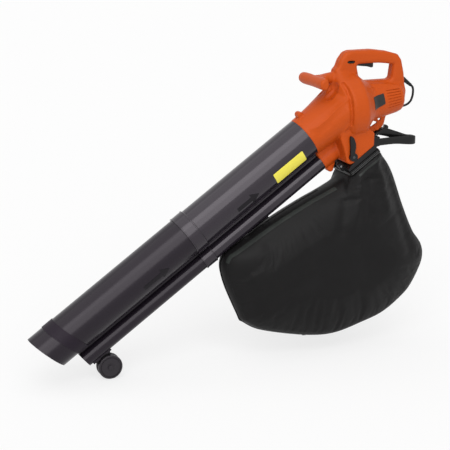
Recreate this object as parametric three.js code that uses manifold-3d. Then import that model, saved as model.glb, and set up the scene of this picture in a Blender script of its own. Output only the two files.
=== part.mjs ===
// Electric leaf blower and garden vacuum with a twin tube, a running wheel and a collecting bag.
// Millimetres, +Z up, +X to the rear, -X to the nozzle, -Y the left side of the machine.
// The origin is the middle of the main grip. The machine is posed as it is carried in use.
import * as THREE from 'three';
import { mergeVertices } from 'three/addons/utils/BufferGeometryUtils.js';
import Module from 'manifold-3d';

const wasm = await Module();
wasm.setup();

// clearances
const GAP = 0.3;
const FIT = 0.4;

// twin tube: the wide suction tube above, the narrow blow tube below
const TUBE_TILT = 35;
const HUB_X = -98;
const HUB_Z = -144.8;
const TUBE_R = 59;
const BLOW_R = 23;
const DUCT_SPACING = 91;
const RIB_HALF = 4;
const TUBE_WALL = 2.4;
const SOCKET_WALL = 2.6;
const RIM_S = -128;
const JOINT_S = -534;
const BAND_LENGTH = 36;
const MOUTH_S = -1062;
const MOUTH_SLANT = 16;
const BLOW_END_S = -996;
const BLOW_END_SLANT = 7;
const SPIGOT_LENGTH = 40;

// wheel on its bracket under the nozzle
const WHEEL_R = 34.5;
const WHEEL_WIDTH = 30;
const WHEEL_BACK = 43;
const WHEEL_S = BLOW_END_S + WHEEL_BACK;
const WHEEL_CLEAR = 6.5;
const AXLE_R = 4;
const BRACKET_HALF = 11;

// fan and motor housing, turned about the fan axis
const FAN_TILT = 7;
const FAN_X = -101;
const FAN_Z = -140;
const DRUM_R = 96;
const DRUM_END = 58;
const MOTOR_R = 55;
const MOTOR_TAIL_R = 47;
const HOUSING_END = 201;
const WALL = 3;
const IMPELLER_R = 80;
const SHAFT_R = 4;

// exhaust box under the fan, with the changeover flap
const BOX_HALF = 64;
const FLANGE_DEPTH = 132;
const FLANGE_FRONT = -68;
const FLANGE_REAR = 14;
const FLAP_S = -58;
const FLAP_DEPTH = FLANGE_DEPTH - 19;
const FLAP_SHAFT_R = 4;
const LEVER_LENGTH = 61;

// closed main grip
const GRIP_HALF = 19;
const GRIP_ROUND = 9;
const POST_FRONT = 68;
const GRIP_TOP = 22;
const GRIP_UNDER = -17.5;

// front handle bar
const BAR_X = -173;
const BAR_Z = -59;
const BAR_R = 17;
const BAR_HALF = 77;

// collecting bag
const BAG_HALF = 78;
const BAG_NECK_HALF = 60;
const FRAME_HEIGHT = 26;
const FRAME_DEPTH = FLANGE_DEPTH + FRAME_HEIGHT;

// mains lead
const CORD_R = 3.25;
const PLUG_R = 17;
const PIN_SPACING = 19;
const SLEEVE_END = 40;

const ROUND = 32;
const SMALL_ROUND = 16;

const rad = THREE.MathUtils.degToRad;

function frameAt(x, z, tilt) {
  const turn = new THREE.Matrix4().makeRotationY(-rad(tilt));
  return new THREE.Matrix4().makeTranslation(x, 0, z).multiply(turn);
}

const WORLD = new THREE.Matrix4();
const TUBE = frameAt(HUB_X, HUB_Z, TUBE_TILT);
const FAN = frameAt(FAN_X, FAN_Z, FAN_TILT);

// ---- solids ----

function solid(geometry, frame = WORLD) {
  const bare = new THREE.BufferGeometry();
  bare.setAttribute('position', geometry.getAttribute('position').clone());
  bare.applyMatrix4(frame);
  if (geometry.index) {
    bare.setIndex(geometry.index.clone());
  }
  const merged = mergeVertices(bare, 1e-4);
  const corners = merged.index.array;
  const kept = [];
  for (let i = 0; i < corners.length; i += 3) {
    const [a, b, c] = [corners[i], corners[i + 1], corners[i + 2]];
    if (a !== b && b !== c && c !== a) {
      kept.push(a, b, c);
    }
  }
  return new wasm.Manifold(new wasm.Mesh({
    numProp: 3,
    vertProperties: new Float32Array(merged.getAttribute('position').array),
    triVerts: new Uint32Array(kept),
  }));
}

function join(...parts) {
  return parts.reduce((sum, part) => sum.add(part));
}

function cut(body, ...tools) {
  return tools.reduce((rest, tool) => rest.subtract(tool), body);
}

// cylinder along the frame's X
function rod(frame, from, to, radius, y = 0, z = 0, sides = ROUND) {
  const geometry = new THREE.CylinderGeometry(radius, radius, to - from, sides);
  geometry.rotateZ(Math.PI / 2);
  geometry.translate((from + to) / 2, y, z);
  return solid(geometry, frame);
}

// cylinder along Y
function pin(frame, x, z, radius, from, to, sides = SMALL_ROUND) {
  const geometry = new THREE.CylinderGeometry(radius, radius, to - from, sides);
  geometry.translate(x, (from + to) / 2, z);
  return solid(geometry, frame);
}

// cylinder along the frame's Z
function post(frame, x, y, radius, from, to, sides = SMALL_ROUND) {
  const geometry = new THREE.CylinderGeometry(radius, radius, to - from, sides);
  geometry.rotateX(Math.PI / 2);
  geometry.translate(x, y, (from + to) / 2);
  return solid(geometry, frame);
}

// profile of [along X, radius] pairs turned about the frame's X
function spun(frame, profile, sides = ROUND) {
  const points = profile.map(([along, radius]) => new THREE.Vector2(radius, along));
  const geometry = new THREE.LatheGeometry(points, sides);
  geometry.rotateZ(-Math.PI / 2);
  const body = solid(geometry, frame);
  return body.volume() < 0 ? solid(flipped(geometry), frame) : body;
}

function flipped(geometry) {
  const order = geometry.index.array;
  for (let i = 0; i < order.length; i += 3) {
    [order[i], order[i + 1]] = [order[i + 1], order[i]];
  }
  return geometry;
}

function block(frame, x0, x1, y0, y1, z0, z1) {
  const geometry = new THREE.BoxGeometry(x1 - x0, y1 - y0, z1 - z0);
  geometry.translate((x0 + x1) / 2, (y0 + y1) / 2, (z0 + z1) / 2);
  return solid(geometry, frame);
}

function outline(points, clockwise = false) {
  const path = points.map(([x, z]) => new THREE.Vector2(x, z));
  if (THREE.ShapeUtils.isClockWise(path) !== clockwise) {
    path.reverse();
  }
  return new THREE.Shape(path);
}

// outline in the frame's XZ plane, as thick as from y0 to y1, with rounded rims
function slab(frame, points, y0, y1, round = 0, inset = 0, holes = []) {
  const shape = outline(points);
  shape.holes = holes.map((hole) => outline(hole, true));
  const geometry = new THREE.ExtrudeGeometry(shape, {
    depth: y1 - y0 - 2 * round,
    bevelEnabled: round > 0,
    bevelThickness: round,
    bevelSize: round,
    bevelOffset: -round - inset,
    bevelSegments: 2,
  });
  geometry.rotateX(Math.PI / 2);
  geometry.translate(0, y1 - round, 0);
  return solid(geometry, frame);
}

// half space x > 0 of a plane standing across the tube at s, leaning by the given angle
function beyond(s, z, lean, size) {
  const turn = new THREE.Matrix4().makeRotationY(-rad(lean));
  const place = new THREE.Matrix4().makeTranslation(s, 0, z).multiply(turn);
  return block(TUBE.clone().multiply(place), 0, size, -size, size, -size, size);
}

function tubePoint(s, n) {
  const spot = new THREE.Vector3(s, 0, -n).applyMatrix4(TUBE);
  return [spot.x, spot.z];
}

// ---- twin tube ----

// rib that holds the blow tube under the suction tube
function ductRib(from, to, grow) {
  const half = RIB_HALF + grow;
  return block(TUBE, from, to, -half, half, BLOW_R - 5 - DUCT_SPACING, 5 - TUBE_R);
}

function twin(from, to, grow) {
  const suction = rod(TUBE, from, to, TUBE_R + grow);
  const blow = rod(TUBE, from, to, BLOW_R + grow, 0, -DUCT_SPACING);
  return join(suction, blow, ductRib(from, to, grow));
}

function twinBore(from, to) {
  const suction = rod(TUBE, from, to, TUBE_R - TUBE_WALL);
  const blow = rod(TUBE, from, to, BLOW_R - TUBE_WALL, 0, -DUCT_SPACING);
  return suction.add(blow.subtract(rod(TUBE, from, to, TUBE_R)));
}

// wall of a twin tube that plugs into the twin bore with the fit clearance
function twinPlug(from, to, fit) {
  const wall = TUBE_WALL + fit;
  const suction = rod(TUBE, from, to, TUBE_R - wall);
  const suctionHole = rod(TUBE, from - 1, to + 1, TUBE_R - wall - WALL);
  const blow = rod(TUBE, from, to, BLOW_R - wall, 0, -DUCT_SPACING);
  const blowHole = rod(TUBE, from - 1, to + 1, BLOW_R - wall - WALL, 0, -DUCT_SPACING);
  const shared = rod(TUBE, from - 1, to + 1, TUBE_R + fit);
  return join(cut(suction, suctionHole), cut(blow, shared, blowHole));
}

function upperTube() {
  const band = twin(JOINT_S - BAND_LENGTH, JOINT_S + 2, SOCKET_WALL + FIT);
  const body = join(twin(JOINT_S, RIM_S - GAP, 0), band, hangerStud());
  const socket = twin(JOINT_S - BAND_LENGTH - 1, JOINT_S - GAP, FIT);
  return cut(body, twinBore(JOINT_S - 1, RIM_S + 1), socket);
}

function lowerTube() {
  const top = JOINT_S - 2 * GAP;
  const ahead = 2 * TUBE_R;
  const suction = rod(TUBE, MOUTH_S - TUBE_R, top, TUBE_R);
  const collar = rod(TUBE, MOUTH_S - TUBE_R, MOUTH_S + ahead + TUBE_R, TUBE_R + 1.6);
  const lipStart = beyond(MOUTH_S + 51, 0, MOUTH_SLANT, 400);
  const lipEnd = beyond(MOUTH_S + 85, 0, MOUTH_SLANT, 400);
  const lip = collar.intersect(lipStart.subtract(lipEnd));
  const wide = join(suction, lip).intersect(beyond(MOUTH_S, 0, MOUTH_SLANT, 900));
  const blow = rod(TUBE, BLOW_END_S - BLOW_R, top, BLOW_R, 0, -DUCT_SPACING);
  const narrow = blow.intersect(beyond(BLOW_END_S, -DUCT_SPACING, BLOW_END_SLANT, 900));
  const rib = ductRib(BLOW_END_S + 6, top, 0);
  return cut(join(wide, narrow, rib, wheelFoot()), twinBore(MOUTH_S - ahead, top + 1), wheelFootSlot());
}

// ---- wheel ----

const WHEEL_DEPTH = DUCT_SPACING + BLOW_R + WHEEL_CLEAR + WHEEL_R;
const FORK_IN = WHEEL_WIDTH / 2 + 1;

// low pad under the blow tube that takes the bracket
function wheelFoot() {
  const floor = DUCT_SPACING + BLOW_R + 3;
  return block(TUBE, WHEEL_S - 30, WHEEL_S + 32, -BRACKET_HALF, BRACKET_HALF, -floor, -floor + 14);
}

function wheelFootSlot() {
  const floor = DUCT_SPACING + BLOW_R + 3;
  const reach = BRACKET_HALF + 1;
  return block(TUBE, WHEEL_S - 6, WHEEL_S + 14, -reach, reach, -floor - 1, -floor + 2.6);
}

// single stem that drops from the pad into the slot between the two halves of the roller
function wheelBracket() {
  const floor = DUCT_SPACING + BLOW_R + 3 + GAP;
  const side = [
    [WHEEL_S - 28, -floor], [WHEEL_S + 30, -floor], [WHEEL_S + 26, -floor - 4],
    [WHEEL_S + 10, -WHEEL_DEPTH - 4], [WHEEL_S, -WHEEL_DEPTH - 9], [WHEEL_S - 9, -WHEEL_DEPTH - 4],
    [WHEEL_S - 24, -floor - 4],
  ];
  const stem = slab(TUBE, side, -4, 4);
  const key = block(TUBE, WHEEL_S - 5, WHEEL_S + 13, -4, 4, -floor - 1, -floor + 2);
  return cut(join(stem, key), pin(TUBE, WHEEL_S, -WHEEL_DEPTH, AXLE_R + GAP, -20, 20));
}

function roller() {
  const half = WHEEL_WIDTH / 2;
  const edge = 2;
  const face = [
    [-half, AXLE_R + GAP], [-half, WHEEL_R - 7], [-half + 1.5, WHEEL_R - 6], [-half, WHEEL_R - 5],
    [-half, WHEEL_R - edge], [-half + edge, WHEEL_R], [half - edge, WHEEL_R],
    [half, WHEEL_R - edge], [half, WHEEL_R - 5], [half - 1.5, WHEEL_R - 6], [half, WHEEL_R - 7],
    [half, AXLE_R + GAP],
  ];
  const place = new THREE.Matrix4().makeTranslation(WHEEL_S, 0, -WHEEL_DEPTH);
  const turn = new THREE.Matrix4().makeRotationZ(Math.PI / 2);
  const frame = TUBE.clone().multiply(place).multiply(turn);
  const body = spun(frame, [...face, face[0]], 28);
  const groove = pin(TUBE, WHEEL_S, -WHEEL_DEPTH, WHEEL_R + 2, -5, 5, 28);
  return { body, groove };
}

// two roller discs, one on each side of the bracket
function wheelDisc(side) {
  const { body, groove } = roller();
  const reach = WHEEL_WIDTH;
  const from = side < 0 ? 0 : -reach;
  const half = pin(TUBE, WHEEL_S, -WHEEL_DEPTH, WHEEL_R + 2, from, from + reach, 28);
  return cut(body, groove, half);
}

function axle() {
  const half = WHEEL_WIDTH / 2;
  const bar = pin(TUBE, WHEEL_S, -WHEEL_DEPTH, AXLE_R, -half - 1, half + 1);
  const head = pin(TUBE, WHEEL_S, -WHEEL_DEPTH, AXLE_R + 3, -half - 3, -half - GAP);
  const clip = pin(TUBE, WHEEL_S, -WHEEL_DEPTH, AXLE_R + 3, half + GAP, half + 3);
  return join(bar, head, clip);
}

// ---- housing ----

const DRUM_FACE = 2;
const DRUM_TOP = [
  [DRUM_FACE, 0], [DRUM_FACE, DRUM_R - 12], [DRUM_FACE + 4, DRUM_R - 6], [DRUM_FACE + 14, DRUM_R],
  [DRUM_END - 6, DRUM_R], [DRUM_END, DRUM_R - 3], [DRUM_END + 34, MOTOR_R + 6],
  [DRUM_END + 48, MOTOR_R], [HOUSING_END - 22, MOTOR_TAIL_R], [HOUSING_END - 8, MOTOR_TAIL_R - 4],
  [HOUSING_END, MOTOR_TAIL_R - 14], [HOUSING_END, 0],
];

// outline of the closed grip, from the front of the neck round the back to the motor housing
const GRIP_OUTLINE = [
  [-134, -109], [-118, -69], [-118, -45], [-116, -30], [-107, -21], [-100, -2], [-85, 17],
  [-71, GRIP_TOP], [0, GRIP_TOP], [48, 15], [83, 5], [95, -11], [104, -49], [108, -83],
  [113, -101], [110, -131], [-40, -131],
];
const GRIP_OPENING = [
  [-47, GRIP_UNDER - 6], [-45.5, GRIP_UNDER - 1.5], [-30, GRIP_UNDER], [POST_FRONT - 46, GRIP_UNDER],
  [POST_FRONT - 19, GRIP_UNDER - 3], [POST_FRONT, GRIP_UNDER - 6.5], [POST_FRONT - 5, -61],
  [POST_FRONT - 12, -66], [-23, -66], [-41, -51],
];
const BOX_FRONT = [
  [-81, 14 - FLANGE_DEPTH], [-70, 42 - FLANGE_DEPTH], [-63, 66 - FLANGE_DEPTH], [-59, -50], [-50, -39],
];
const BOX_REAR = [[36, 30 - FLANGE_DEPTH], [34, 39 - FLANGE_DEPTH], [24, 62 - FLANGE_DEPTH]];
const BOX_OUTLINE = [
  [FLANGE_FRONT - 8, 4 - FLANGE_DEPTH], [FLANGE_FRONT, -FLANGE_DEPTH], [FLANGE_REAR, -FLANGE_DEPTH],
  ...BOX_REAR, [0, -40], [-10, -31], [-32, -32], ...BOX_FRONT.slice().reverse(),
];
// the lower rear corner of the exhaust box, from which its ear and the neck's fittings are placed
const [NECK_X, NECK_Z] = tubePoint(FLANGE_REAR, FLANGE_DEPTH);
const NECK = frameAt(NECK_X, NECK_Z, 0);

const EAR_OUTLINE = [
  [-19.2, 94.9], [-3.2, 22.9], [20.8, 24.9], [28.8, 27.9], [53.8, 38.9], [60.8, 46.9],
  [67.8, 75.9], [80.8, 104.9], [30.8, 114.9],
];
const EAR_EYE = [[13.8, 63.9], [40.8, 54.9], [17.8, 41.9]];
const EYELET_X = 44.8;
const EYELET_Z = 64.9;
const EYELET_R = 5;
const EAR_HALF = 4;
const EAR_SCREW = [37.8, 39.9];
const EAR_BOSS_HALF = 6;
const BOSS_HALF = 13;
const TOP_BOSS_S = RIM_S + 25;
const LOW_BOSS_S = RIM_S + 12;
const LOW_BOSS_DEPTH = DUCT_SPACING + BLOW_R + 10;
const LOW_BOSS_WEB = [
  [LOW_BOSS_S - 9, 14 - LOW_BOSS_DEPTH], [LOW_BOSS_S - 9, -LOW_BOSS_DEPTH],
  [LOW_BOSS_S + 8, -LOW_BOSS_DEPTH - 4], [LOW_BOSS_S + 18, 1 - LOW_BOSS_DEPTH],
  [LOW_BOSS_S + 28, 14 - LOW_BOSS_DEPTH],
];

function drumInside() {
  const face = DRUM_FACE + WALL;
  return spun(FAN, [
    [face, 0], [face, DRUM_R - 16], [face + 3, DRUM_R - 10], [face + 12, DRUM_R - WALL],
    [40, DRUM_R - WALL], [40, DRUM_R - WALL - 5], [DRUM_END - 2, DRUM_R - WALL - 5],
    [DRUM_END + 32, MOTOR_R + 6 - WALL], [DRUM_END + 48, MOTOR_R - WALL],
    [HOUSING_END - 22, MOTOR_TAIL_R - WALL], [HOUSING_END - 9, MOTOR_TAIL_R - 4 - WALL],
    [HOUSING_END - WALL, MOTOR_TAIL_R - 14 - WALL], [HOUSING_END - WALL, 0],
  ], 36);
}

// body through rings of [along X, half width, height above, depth below]
function loft(frame, rings, sides = ROUND) {
  const points = [];
  const faces = [];
  rings.forEach(([along, half, up, down]) => {
    for (let i = 0; i < sides; i += 1) {
      const angle = (2 * Math.PI * i) / sides;
      const rise = Math.sin(angle);
      points.push(new THREE.Vector3(along, half * Math.cos(angle), rise * (rise > 0 ? up : down)));
    }
  });
  const front = points.push(new THREE.Vector3(rings[0][0], 0, 0)) - 1;
  const back = points.push(new THREE.Vector3(rings[rings.length - 1][0], 0, 0)) - 1;
  const last = (rings.length - 1) * sides;
  for (let i = 0; i < sides; i += 1) {
    const j = (i + 1) % sides;
    for (let k = 0; k < last; k += sides) {
      faces.push(k + i, k + j, k + sides + i, k + j, k + sides + j, k + sides + i);
    }
    faces.push(front, j, i, back, last + i, last + j);
  }
  const geometry = new THREE.BufferGeometry().setFromPoints(points);
  geometry.setIndex(faces);
  const body = solid(geometry, frame);
  return body.volume() < 0 ? solid(flipped(geometry), frame) : body;
}

// intake that widens from the round tube to the front of the fan drum
const FLARE = [
  [RIM_S, 0.5, 0.5, 0.5], [-98, 2, 1, 1.5], [-62, 9.5, 2.5, 4.5], [-30, 19.5, 4.5, 8.5],
  [-2, 28.5, 6.5, 10.5], [30, 32.5, 8.5, 8.5],
];

function flare(shrink, rings) {
  const size = TUBE_R - shrink;
  return loft(TUBE, rings.map(([s, half, up, down]) => [s, size + half, size + up, size + down]));
}

function flareInside() {
  const hollow = flare(WALL + 0.5, FLARE.slice(1));
  return hollow.intersect(block(TUBE, -98, 60, -120, 120, 8 - TUBE_R, 120));
}

function boxInside() {
  const inner = BOX_HALF - WALL;
  const lowest = -FLANGE_DEPTH - 5;
  const front = BOX_FRONT.map(([s, z]) => [s + WALL + 0.5, z - WALL / 2]).reverse();
  const rear = BOX_REAR.map(([s, z]) => [s - WALL - 1, z]);
  const room = slab(TUBE, [
    [FLANGE_FRONT - 4, -FLANGE_DEPTH + WALL + 4], [FLANGE_FRONT + 2, -FLANGE_DEPTH + WALL],
    [FLANGE_REAR - 2, -FLANGE_DEPTH + WALL], ...rear, [0, -50], [-22, -50], ...front,
  ], -inner, inner);
  const [from, to] = [FLANGE_FRONT + 18, FLANGE_REAR - 6];
  const mouth = block(TUBE, from, to, 8 - inner, inner - 8, lowest, 12 - FLANGE_DEPTH);
  return cut(join(room, mouth), rod(TUBE, RIM_S, -8, TUBE_R + 0.5));
}

function housingOutside() {
  const drum = spun(FAN, DRUM_TOP, 36);
  const intake = flare(0, FLARE);
  const blow = rod(TUBE, RIM_S, -40, BLOW_R + 2, 0, -DUCT_SPACING);
  const web = block(TUBE, RIM_S, -50, 5 - BLOW_R, BLOW_R - 5, -DUCT_SPACING, -30);
  const neckWeb = slab(WORLD, NECK_WEB, -9, 9, 2);
  const box = slab(TUBE, BOX_OUTLINE, -BOX_HALF, BOX_HALF, 5);
  const grip = slab(WORLD, GRIP_OUTLINE, -GRIP_HALF, GRIP_HALF, GRIP_ROUND, 0, [GRIP_OPENING]);
  const saddle = slab(WORLD, SADDLE_OUTLINE, -34, 34, 14);
  const ear = slab(NECK, EAR_OUTLINE, -EAR_HALF, EAR_HALF, 1.5);
  const earBoss = pin(NECK, ...EAR_SCREW, 8, -EAR_BOSS_HALF, EAR_BOSS_HALF);
  const topBoss = pin(TUBE, TOP_BOSS_S, TUBE_R + 5, 9.5, -BOSS_HALF, BOSS_HALF);
  const lowBoss = pin(TUBE, LOW_BOSS_S, -LOW_BOSS_DEPTH, 9, -BOSS_HALF, BOSS_HALF);
  const lowWeb = slab(TUBE, LOW_BOSS_WEB, 3 - BOSS_HALF, BOSS_HALF - 3, 1);
  const parts = [drum, intake, blow, web, neckWeb, box, grip, saddle, shoulder(), ear, earBoss];
  return join(...parts, topBoss, lowBoss, lowWeb, barStem(0));
}

// thin front of the neck, between the stem of the handle bar and the intake
const NECK_WEB = [
  [-104, -50], [-122, -62], [-135, -83], [-145, -102], [-163, -117], [-150, -132], [-100, -132],
];
const SADDLE_OUTLINE = [
  [-104, -124], [-100, -72], [-92, -42], [-60, -44], [-20, -70], [40, -72], [88, -80],
  [106, -100], [100, -124],
];

// neck of the grip spreading over the front of the drum, as rings of
// [depth below the grip, half width, reach to the rear, reach to the front]
const SHOULDER = [
  [26, 14, 46, 12], [40, 26, 50, 17], [52, 43, 56, 22], [66, 58, 80, 25], [82, 68, 112, 26],
  [104, 73, 130, 27], [128, 73, 130, 30],
];
const SHOULDER_X = -100;

function shoulder(grow = 0) {
  const rings = SHOULDER.map(([depth, half, rear, front]) => [
    depth, half + grow, rear + grow, front + grow,
  ]);
  return loft(frameAt(SHOULDER_X, 0, -90), rings);
}

// stem that widens from the neck into the back of the handle bar, as rings of
// [distance behind the bar's axis, half width, height above, depth below]
const STEM = [[8, 42, 11, 14], [20, 29, 12, 14], [36, 20, 16, 13], [66, 17, 21, 11]];
const STEM_RISE = 4;

function barStem(grow) {
  const rings = STEM.map(([x, half, up, down], i) => [
    BAR_X + x - (i === 0 ? grow : 0), half + grow, up + grow, down + grow,
  ]);
  return loft(frameAt(0, BAR_Z + STEM_RISE, 0), rings, 24);
}

function gripInside() {
  const hollow = slab(WORLD, GRIP_OUTLINE, WALL - GRIP_HALF, GRIP_HALF - WALL,
    GRIP_ROUND - WALL, WALL, [GRIP_OPENING]);
  return hollow.subtract(spun(FAN, DRUM_TOP.slice(0, 6).concat([[DRUM_END, 0]]), 36));
}

function ductBores() {
  const plug = TUBE_R - TUBE_WALL - FIT - WALL;
  const blow = BLOW_R - TUBE_WALL - FIT - WALL;
  const from = RIM_S - SPIGOT_LENGTH - 1;
  const narrow = rod(TUBE, from, FLANGE_FRONT + 20, blow, 0, -DUCT_SPACING);
  return rod(TUBE, from, -8, plug).add(narrow.subtract(rod(TUBE, from, 0, TUBE_R + 0.5)));
}

// cooling slots through the side of the motor housing
function coolingSlots() {
  const slots = [];
  for (let i = 0; i < 5; i += 1) {
    const z = 24 - 11 * i;
    const start = HOUSING_END - 62 + 3 * i;
    slots.push(block(FAN, start, HOUSING_END - 17, -80, 80, z, z + 3));
  }
  return join(...slots);
}

function servicePassages() {
  const side = TRIGGER_HALF + 1;
  const trigger = block(WORLD, TRIGGER_FRONT - 1, TRIGGER_REAR + 1.5, -side, side, -30, GRIP_UNDER + 5);
  const dialRoom = DIAL_THICK / 2 + 1.1;
  const dial = post(WORLD, DIAL_X, DIAL_Y, DIAL_R + 1, DIAL_Z - dialRoom, DIAL_Z + dialRoom, 24);
  const dialWindow = dial.intersect(block(WORLD, -110, -30, -30, -14, -30, 10));
  const shaft = pin(TUBE, FLAP_S, -FLAP_DEPTH, FLAP_SHAFT_R + FIT, -BOX_HALF - 1, BOX_HALF + 1);
  const eyelet = pin(NECK, EYELET_X, EYELET_Z, EYELET_R, -20, 20);
  const eye = slab(NECK, EAR_EYE, -20, 20);
  const bolt = rod(WORLD, BAR_X, BAR_X + BOLT_REACH + 2, BOLT_R + FIT, 0, BAR_Z, 12);
  return join(trigger, dialWindow, shaft, eyelet, eye, sleeveHole(), bolt);
}

const SCREW_SPOTS = [
  ...[[TOP_BOSS_S, TUBE_R + 5], [LOW_BOSS_S, -LOW_BOSS_DEPTH]].map(([s, z]) => {
    const [x, height] = tubePoint(s, -z);
    return [x, height, BOSS_HALF];
  }),
  [-88, -4, GRIP_HALF],
  [84, -5, GRIP_HALF],
  [86, -45, GRIP_HALF],
  [NECK_X + EAR_SCREW[0], NECK_Z + EAR_SCREW[1], EAR_BOSS_HALF],
];

// wells for the six housing screws, entered from the right side
function screwWells() {
  const wells = SCREW_SPOTS.map(([x, z, side]) => {
    const bore = pin(WORLD, x, z, 2 + FIT, -side + 3, side + 1, 10);
    const head = pin(WORLD, x, z, 4 + FIT, side - 3.5, side + 20, 12);
    return bore.add(head);
  });
  return join(...wells);
}

// solid columns that carry the housing screws through the hollow grip
function screwColumns() {
  const columns = SCREW_SPOTS.map(([x, z, side]) => pin(WORLD, x, z, 5.5, 1 - side, side - 1, 10));
  return join(...columns);
}

function housingScrew(spot) {
  const [x, z, side] = spot;
  const place = new THREE.Matrix4().makeTranslation(x, 0, z);
  const frame = place.multiply(new THREE.Matrix4().makeRotationZ(Math.PI / 2));
  const seat = side - 3.5 + GAP;
  return spun(frame, [
    [4 - side, 0], [4 - side, 2], [seat, 2], [seat, 4], [side - 1.6, 4], [side - 1, 3], [side - 1, 0],
  ], 10);
}

function shells() {
  const inside = join(drumInside(), flareInside(), boxInside(), gripInside());
  const spigot = twinPlug(RIM_S - SPIGOT_LENGTH, RIM_S + 2, FIT);
  const hollow = cut(housingOutside(), inside, ductBores());
  const columns = screwColumns().intersect(housingOutside());
  const passages = join(servicePassages(), screwWells(), coolingSlots().subtract(gripKeep()));
  const whole = cut(join(hollow, columns, spigot), passages);
  const far = 2000;
  const left = block(WORLD, -far, far, -far, -GAP / 2, -far, far);
  const right = block(WORLD, -far, far, GAP / 2, far, -far, far);
  return [whole.intersect(left), whole.intersect(right)];
}

// the part of the housing that stays whole where the cooling slots pass
function gripKeep() {
  return block(WORLD, -200, 200, -GRIP_HALF - 4, GRIP_HALF + 4, -400, 100);
}

// ---- front handle bar ----

function frontBar() {
  const half = BAR_HALF;
  const profile = [
    [-half, 0], [-half, BAR_R - 6], [4 - half, BAR_R - 1], [20 - half, BAR_R], [0, BAR_R - 1],
    [half - 20, BAR_R], [half - 4, BAR_R - 2], [half, BAR_R - 7], [half, 0],
  ];
  const turn = new THREE.Matrix4().makeRotationZ(Math.PI / 2);
  const frame = new THREE.Matrix4().makeTranslation(BAR_X, 0, BAR_Z).multiply(turn);
  const bar = spun(frame, profile, 24);
  const bore = rod(WORLD, BAR_X - BOLT_DEPTH - 1, BAR_X + 12, BOLT_R + FIT, 0, BAR_Z, 12);
  return cut(bar, barStem(GAP), bore);
}

// stud that joins the bar to its stem
const BOLT_R = 3;
const BOLT_DEPTH = 9;
const BOLT_REACH = 20;

function barBolt() {
  return rod(WORLD, BAR_X - BOLT_DEPTH, BAR_X + BOLT_REACH, BOLT_R, 0, BAR_Z, 12);
}

// ---- trigger, switch and speed dial ----

const TRIGGER_FRONT = -46;
const TRIGGER_REAR = 7;
const TRIGGER_TOP = GRIP_UNDER + 10;
const TRIGGER_HALF = 8.5;
const PIVOT_X = TRIGGER_FRONT + 5;
const PIVOT_Z = TRIGGER_TOP - 4.5;
const PIVOT_R = 1.5;
const SWITCH_UNDER = TRIGGER_TOP + 10;
const DIAL_X = -68;
const DIAL_Y = -8.5;
const DIAL_Z = -9.5;
const DIAL_R = 14;
const DIAL_THICK = 3;

function trigger() {
  const body = slab(WORLD, [
    [TRIGGER_FRONT, TRIGGER_TOP - 1], [TRIGGER_FRONT, -22], [-30, -24], [-13, -26], [1, -30],
    [TRIGGER_REAR - 1, -29], [TRIGGER_REAR, -23], [TRIGGER_REAR, TRIGGER_TOP],
    [TRIGGER_FRONT + 3, TRIGGER_TOP],
  ], -TRIGGER_HALF, TRIGGER_HALF, 1);
  return cut(body, pin(WORLD, PIVOT_X, PIVOT_Z, PIVOT_R + GAP, -12, 12, 10));
}

function triggerPin() {
  return pin(WORLD, PIVOT_X, PIVOT_Z, PIVOT_R, -14, 14, 10);
}

function switchModule() {
  const body = block(WORLD, -38, 12, -9, 9, SWITCH_UNDER, SWITCH_UNDER + 14);
  return join(body, post(WORLD, -4, 0, 2.2, SWITCH_UNDER - 4, SWITCH_UNDER + 2, 12));
}

const SPRING_X = -24;
const SPRING_R = 3;
const SPRING_WIRE = 0.45;

// helical spring between the trigger and the switch
function triggerSpring() {
  const turns = 4;
  const steps = 8;
  const from = TRIGGER_TOP + SPRING_WIRE + GAP;
  const climb = SWITCH_UNDER - SPRING_WIRE - GAP - from;
  const points = [];
  for (let i = 0; i <= turns * steps; i += 1) {
    const angle = (2 * Math.PI * i) / steps;
    const z = from + (climb * i) / (turns * steps);
    const x = SPRING_X + SPRING_R * Math.cos(angle);
    points.push(new THREE.Vector3(x, SPRING_R * Math.sin(angle), z));
  }
  return wire(points, SPRING_WIRE, 5);
}

function wire(points, radius, sides) {
  const path = new THREE.CatmullRomCurve3(points);
  const ring = [];
  for (let i = 0; i < sides; i += 1) {
    const angle = (2 * Math.PI * i) / sides;
    ring.push(new THREE.Vector2(radius * Math.cos(angle), radius * Math.sin(angle)));
  }
  const geometry = new THREE.ExtrudeGeometry(new THREE.Shape(ring), {
    steps: points.length - 1,
    extrudePath: path,
  });
  return solid(geometry);
}

function speedDial() {
  const half = DIAL_THICK / 2;
  const wheel = post(WORLD, DIAL_X, DIAL_Y, DIAL_R, DIAL_Z - half, DIAL_Z + half, 24);
  const notches = [];
  for (let i = 0; i < 12; i += 1) {
    const angle = (Math.PI * i) / 6;
    const reach = DIAL_R + 0.4;
    const x = DIAL_X + reach * Math.cos(angle);
    const y = DIAL_Y + reach * Math.sin(angle);
    notches.push(post(WORLD, x, y, 1.2, DIAL_Z - 4, DIAL_Z + 4, 6));
  }
  const stub = post(WORLD, DIAL_X, DIAL_Y, 2.5, DIAL_Z, DIAL_Z + half + 2.5, 12);
  return cut(wheel, ...notches).add(stub);
}

function dialBoard() {
  const top = DIAL_Z - 6.4;
  const board = block(WORLD, DIAL_X - 18, DIAL_X + 16, -14, 12, top - 1.6, top);
  const sensor = block(WORLD, DIAL_X - 8, DIAL_X + 8, -14, 0, top, DIAL_Z - DIAL_THICK / 2 - GAP);
  return board.add(sensor);
}

// ---- fan and motor ----

const PLATE_FRONT = 35.4;
const PLATE_REAR = 39.7;

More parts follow.
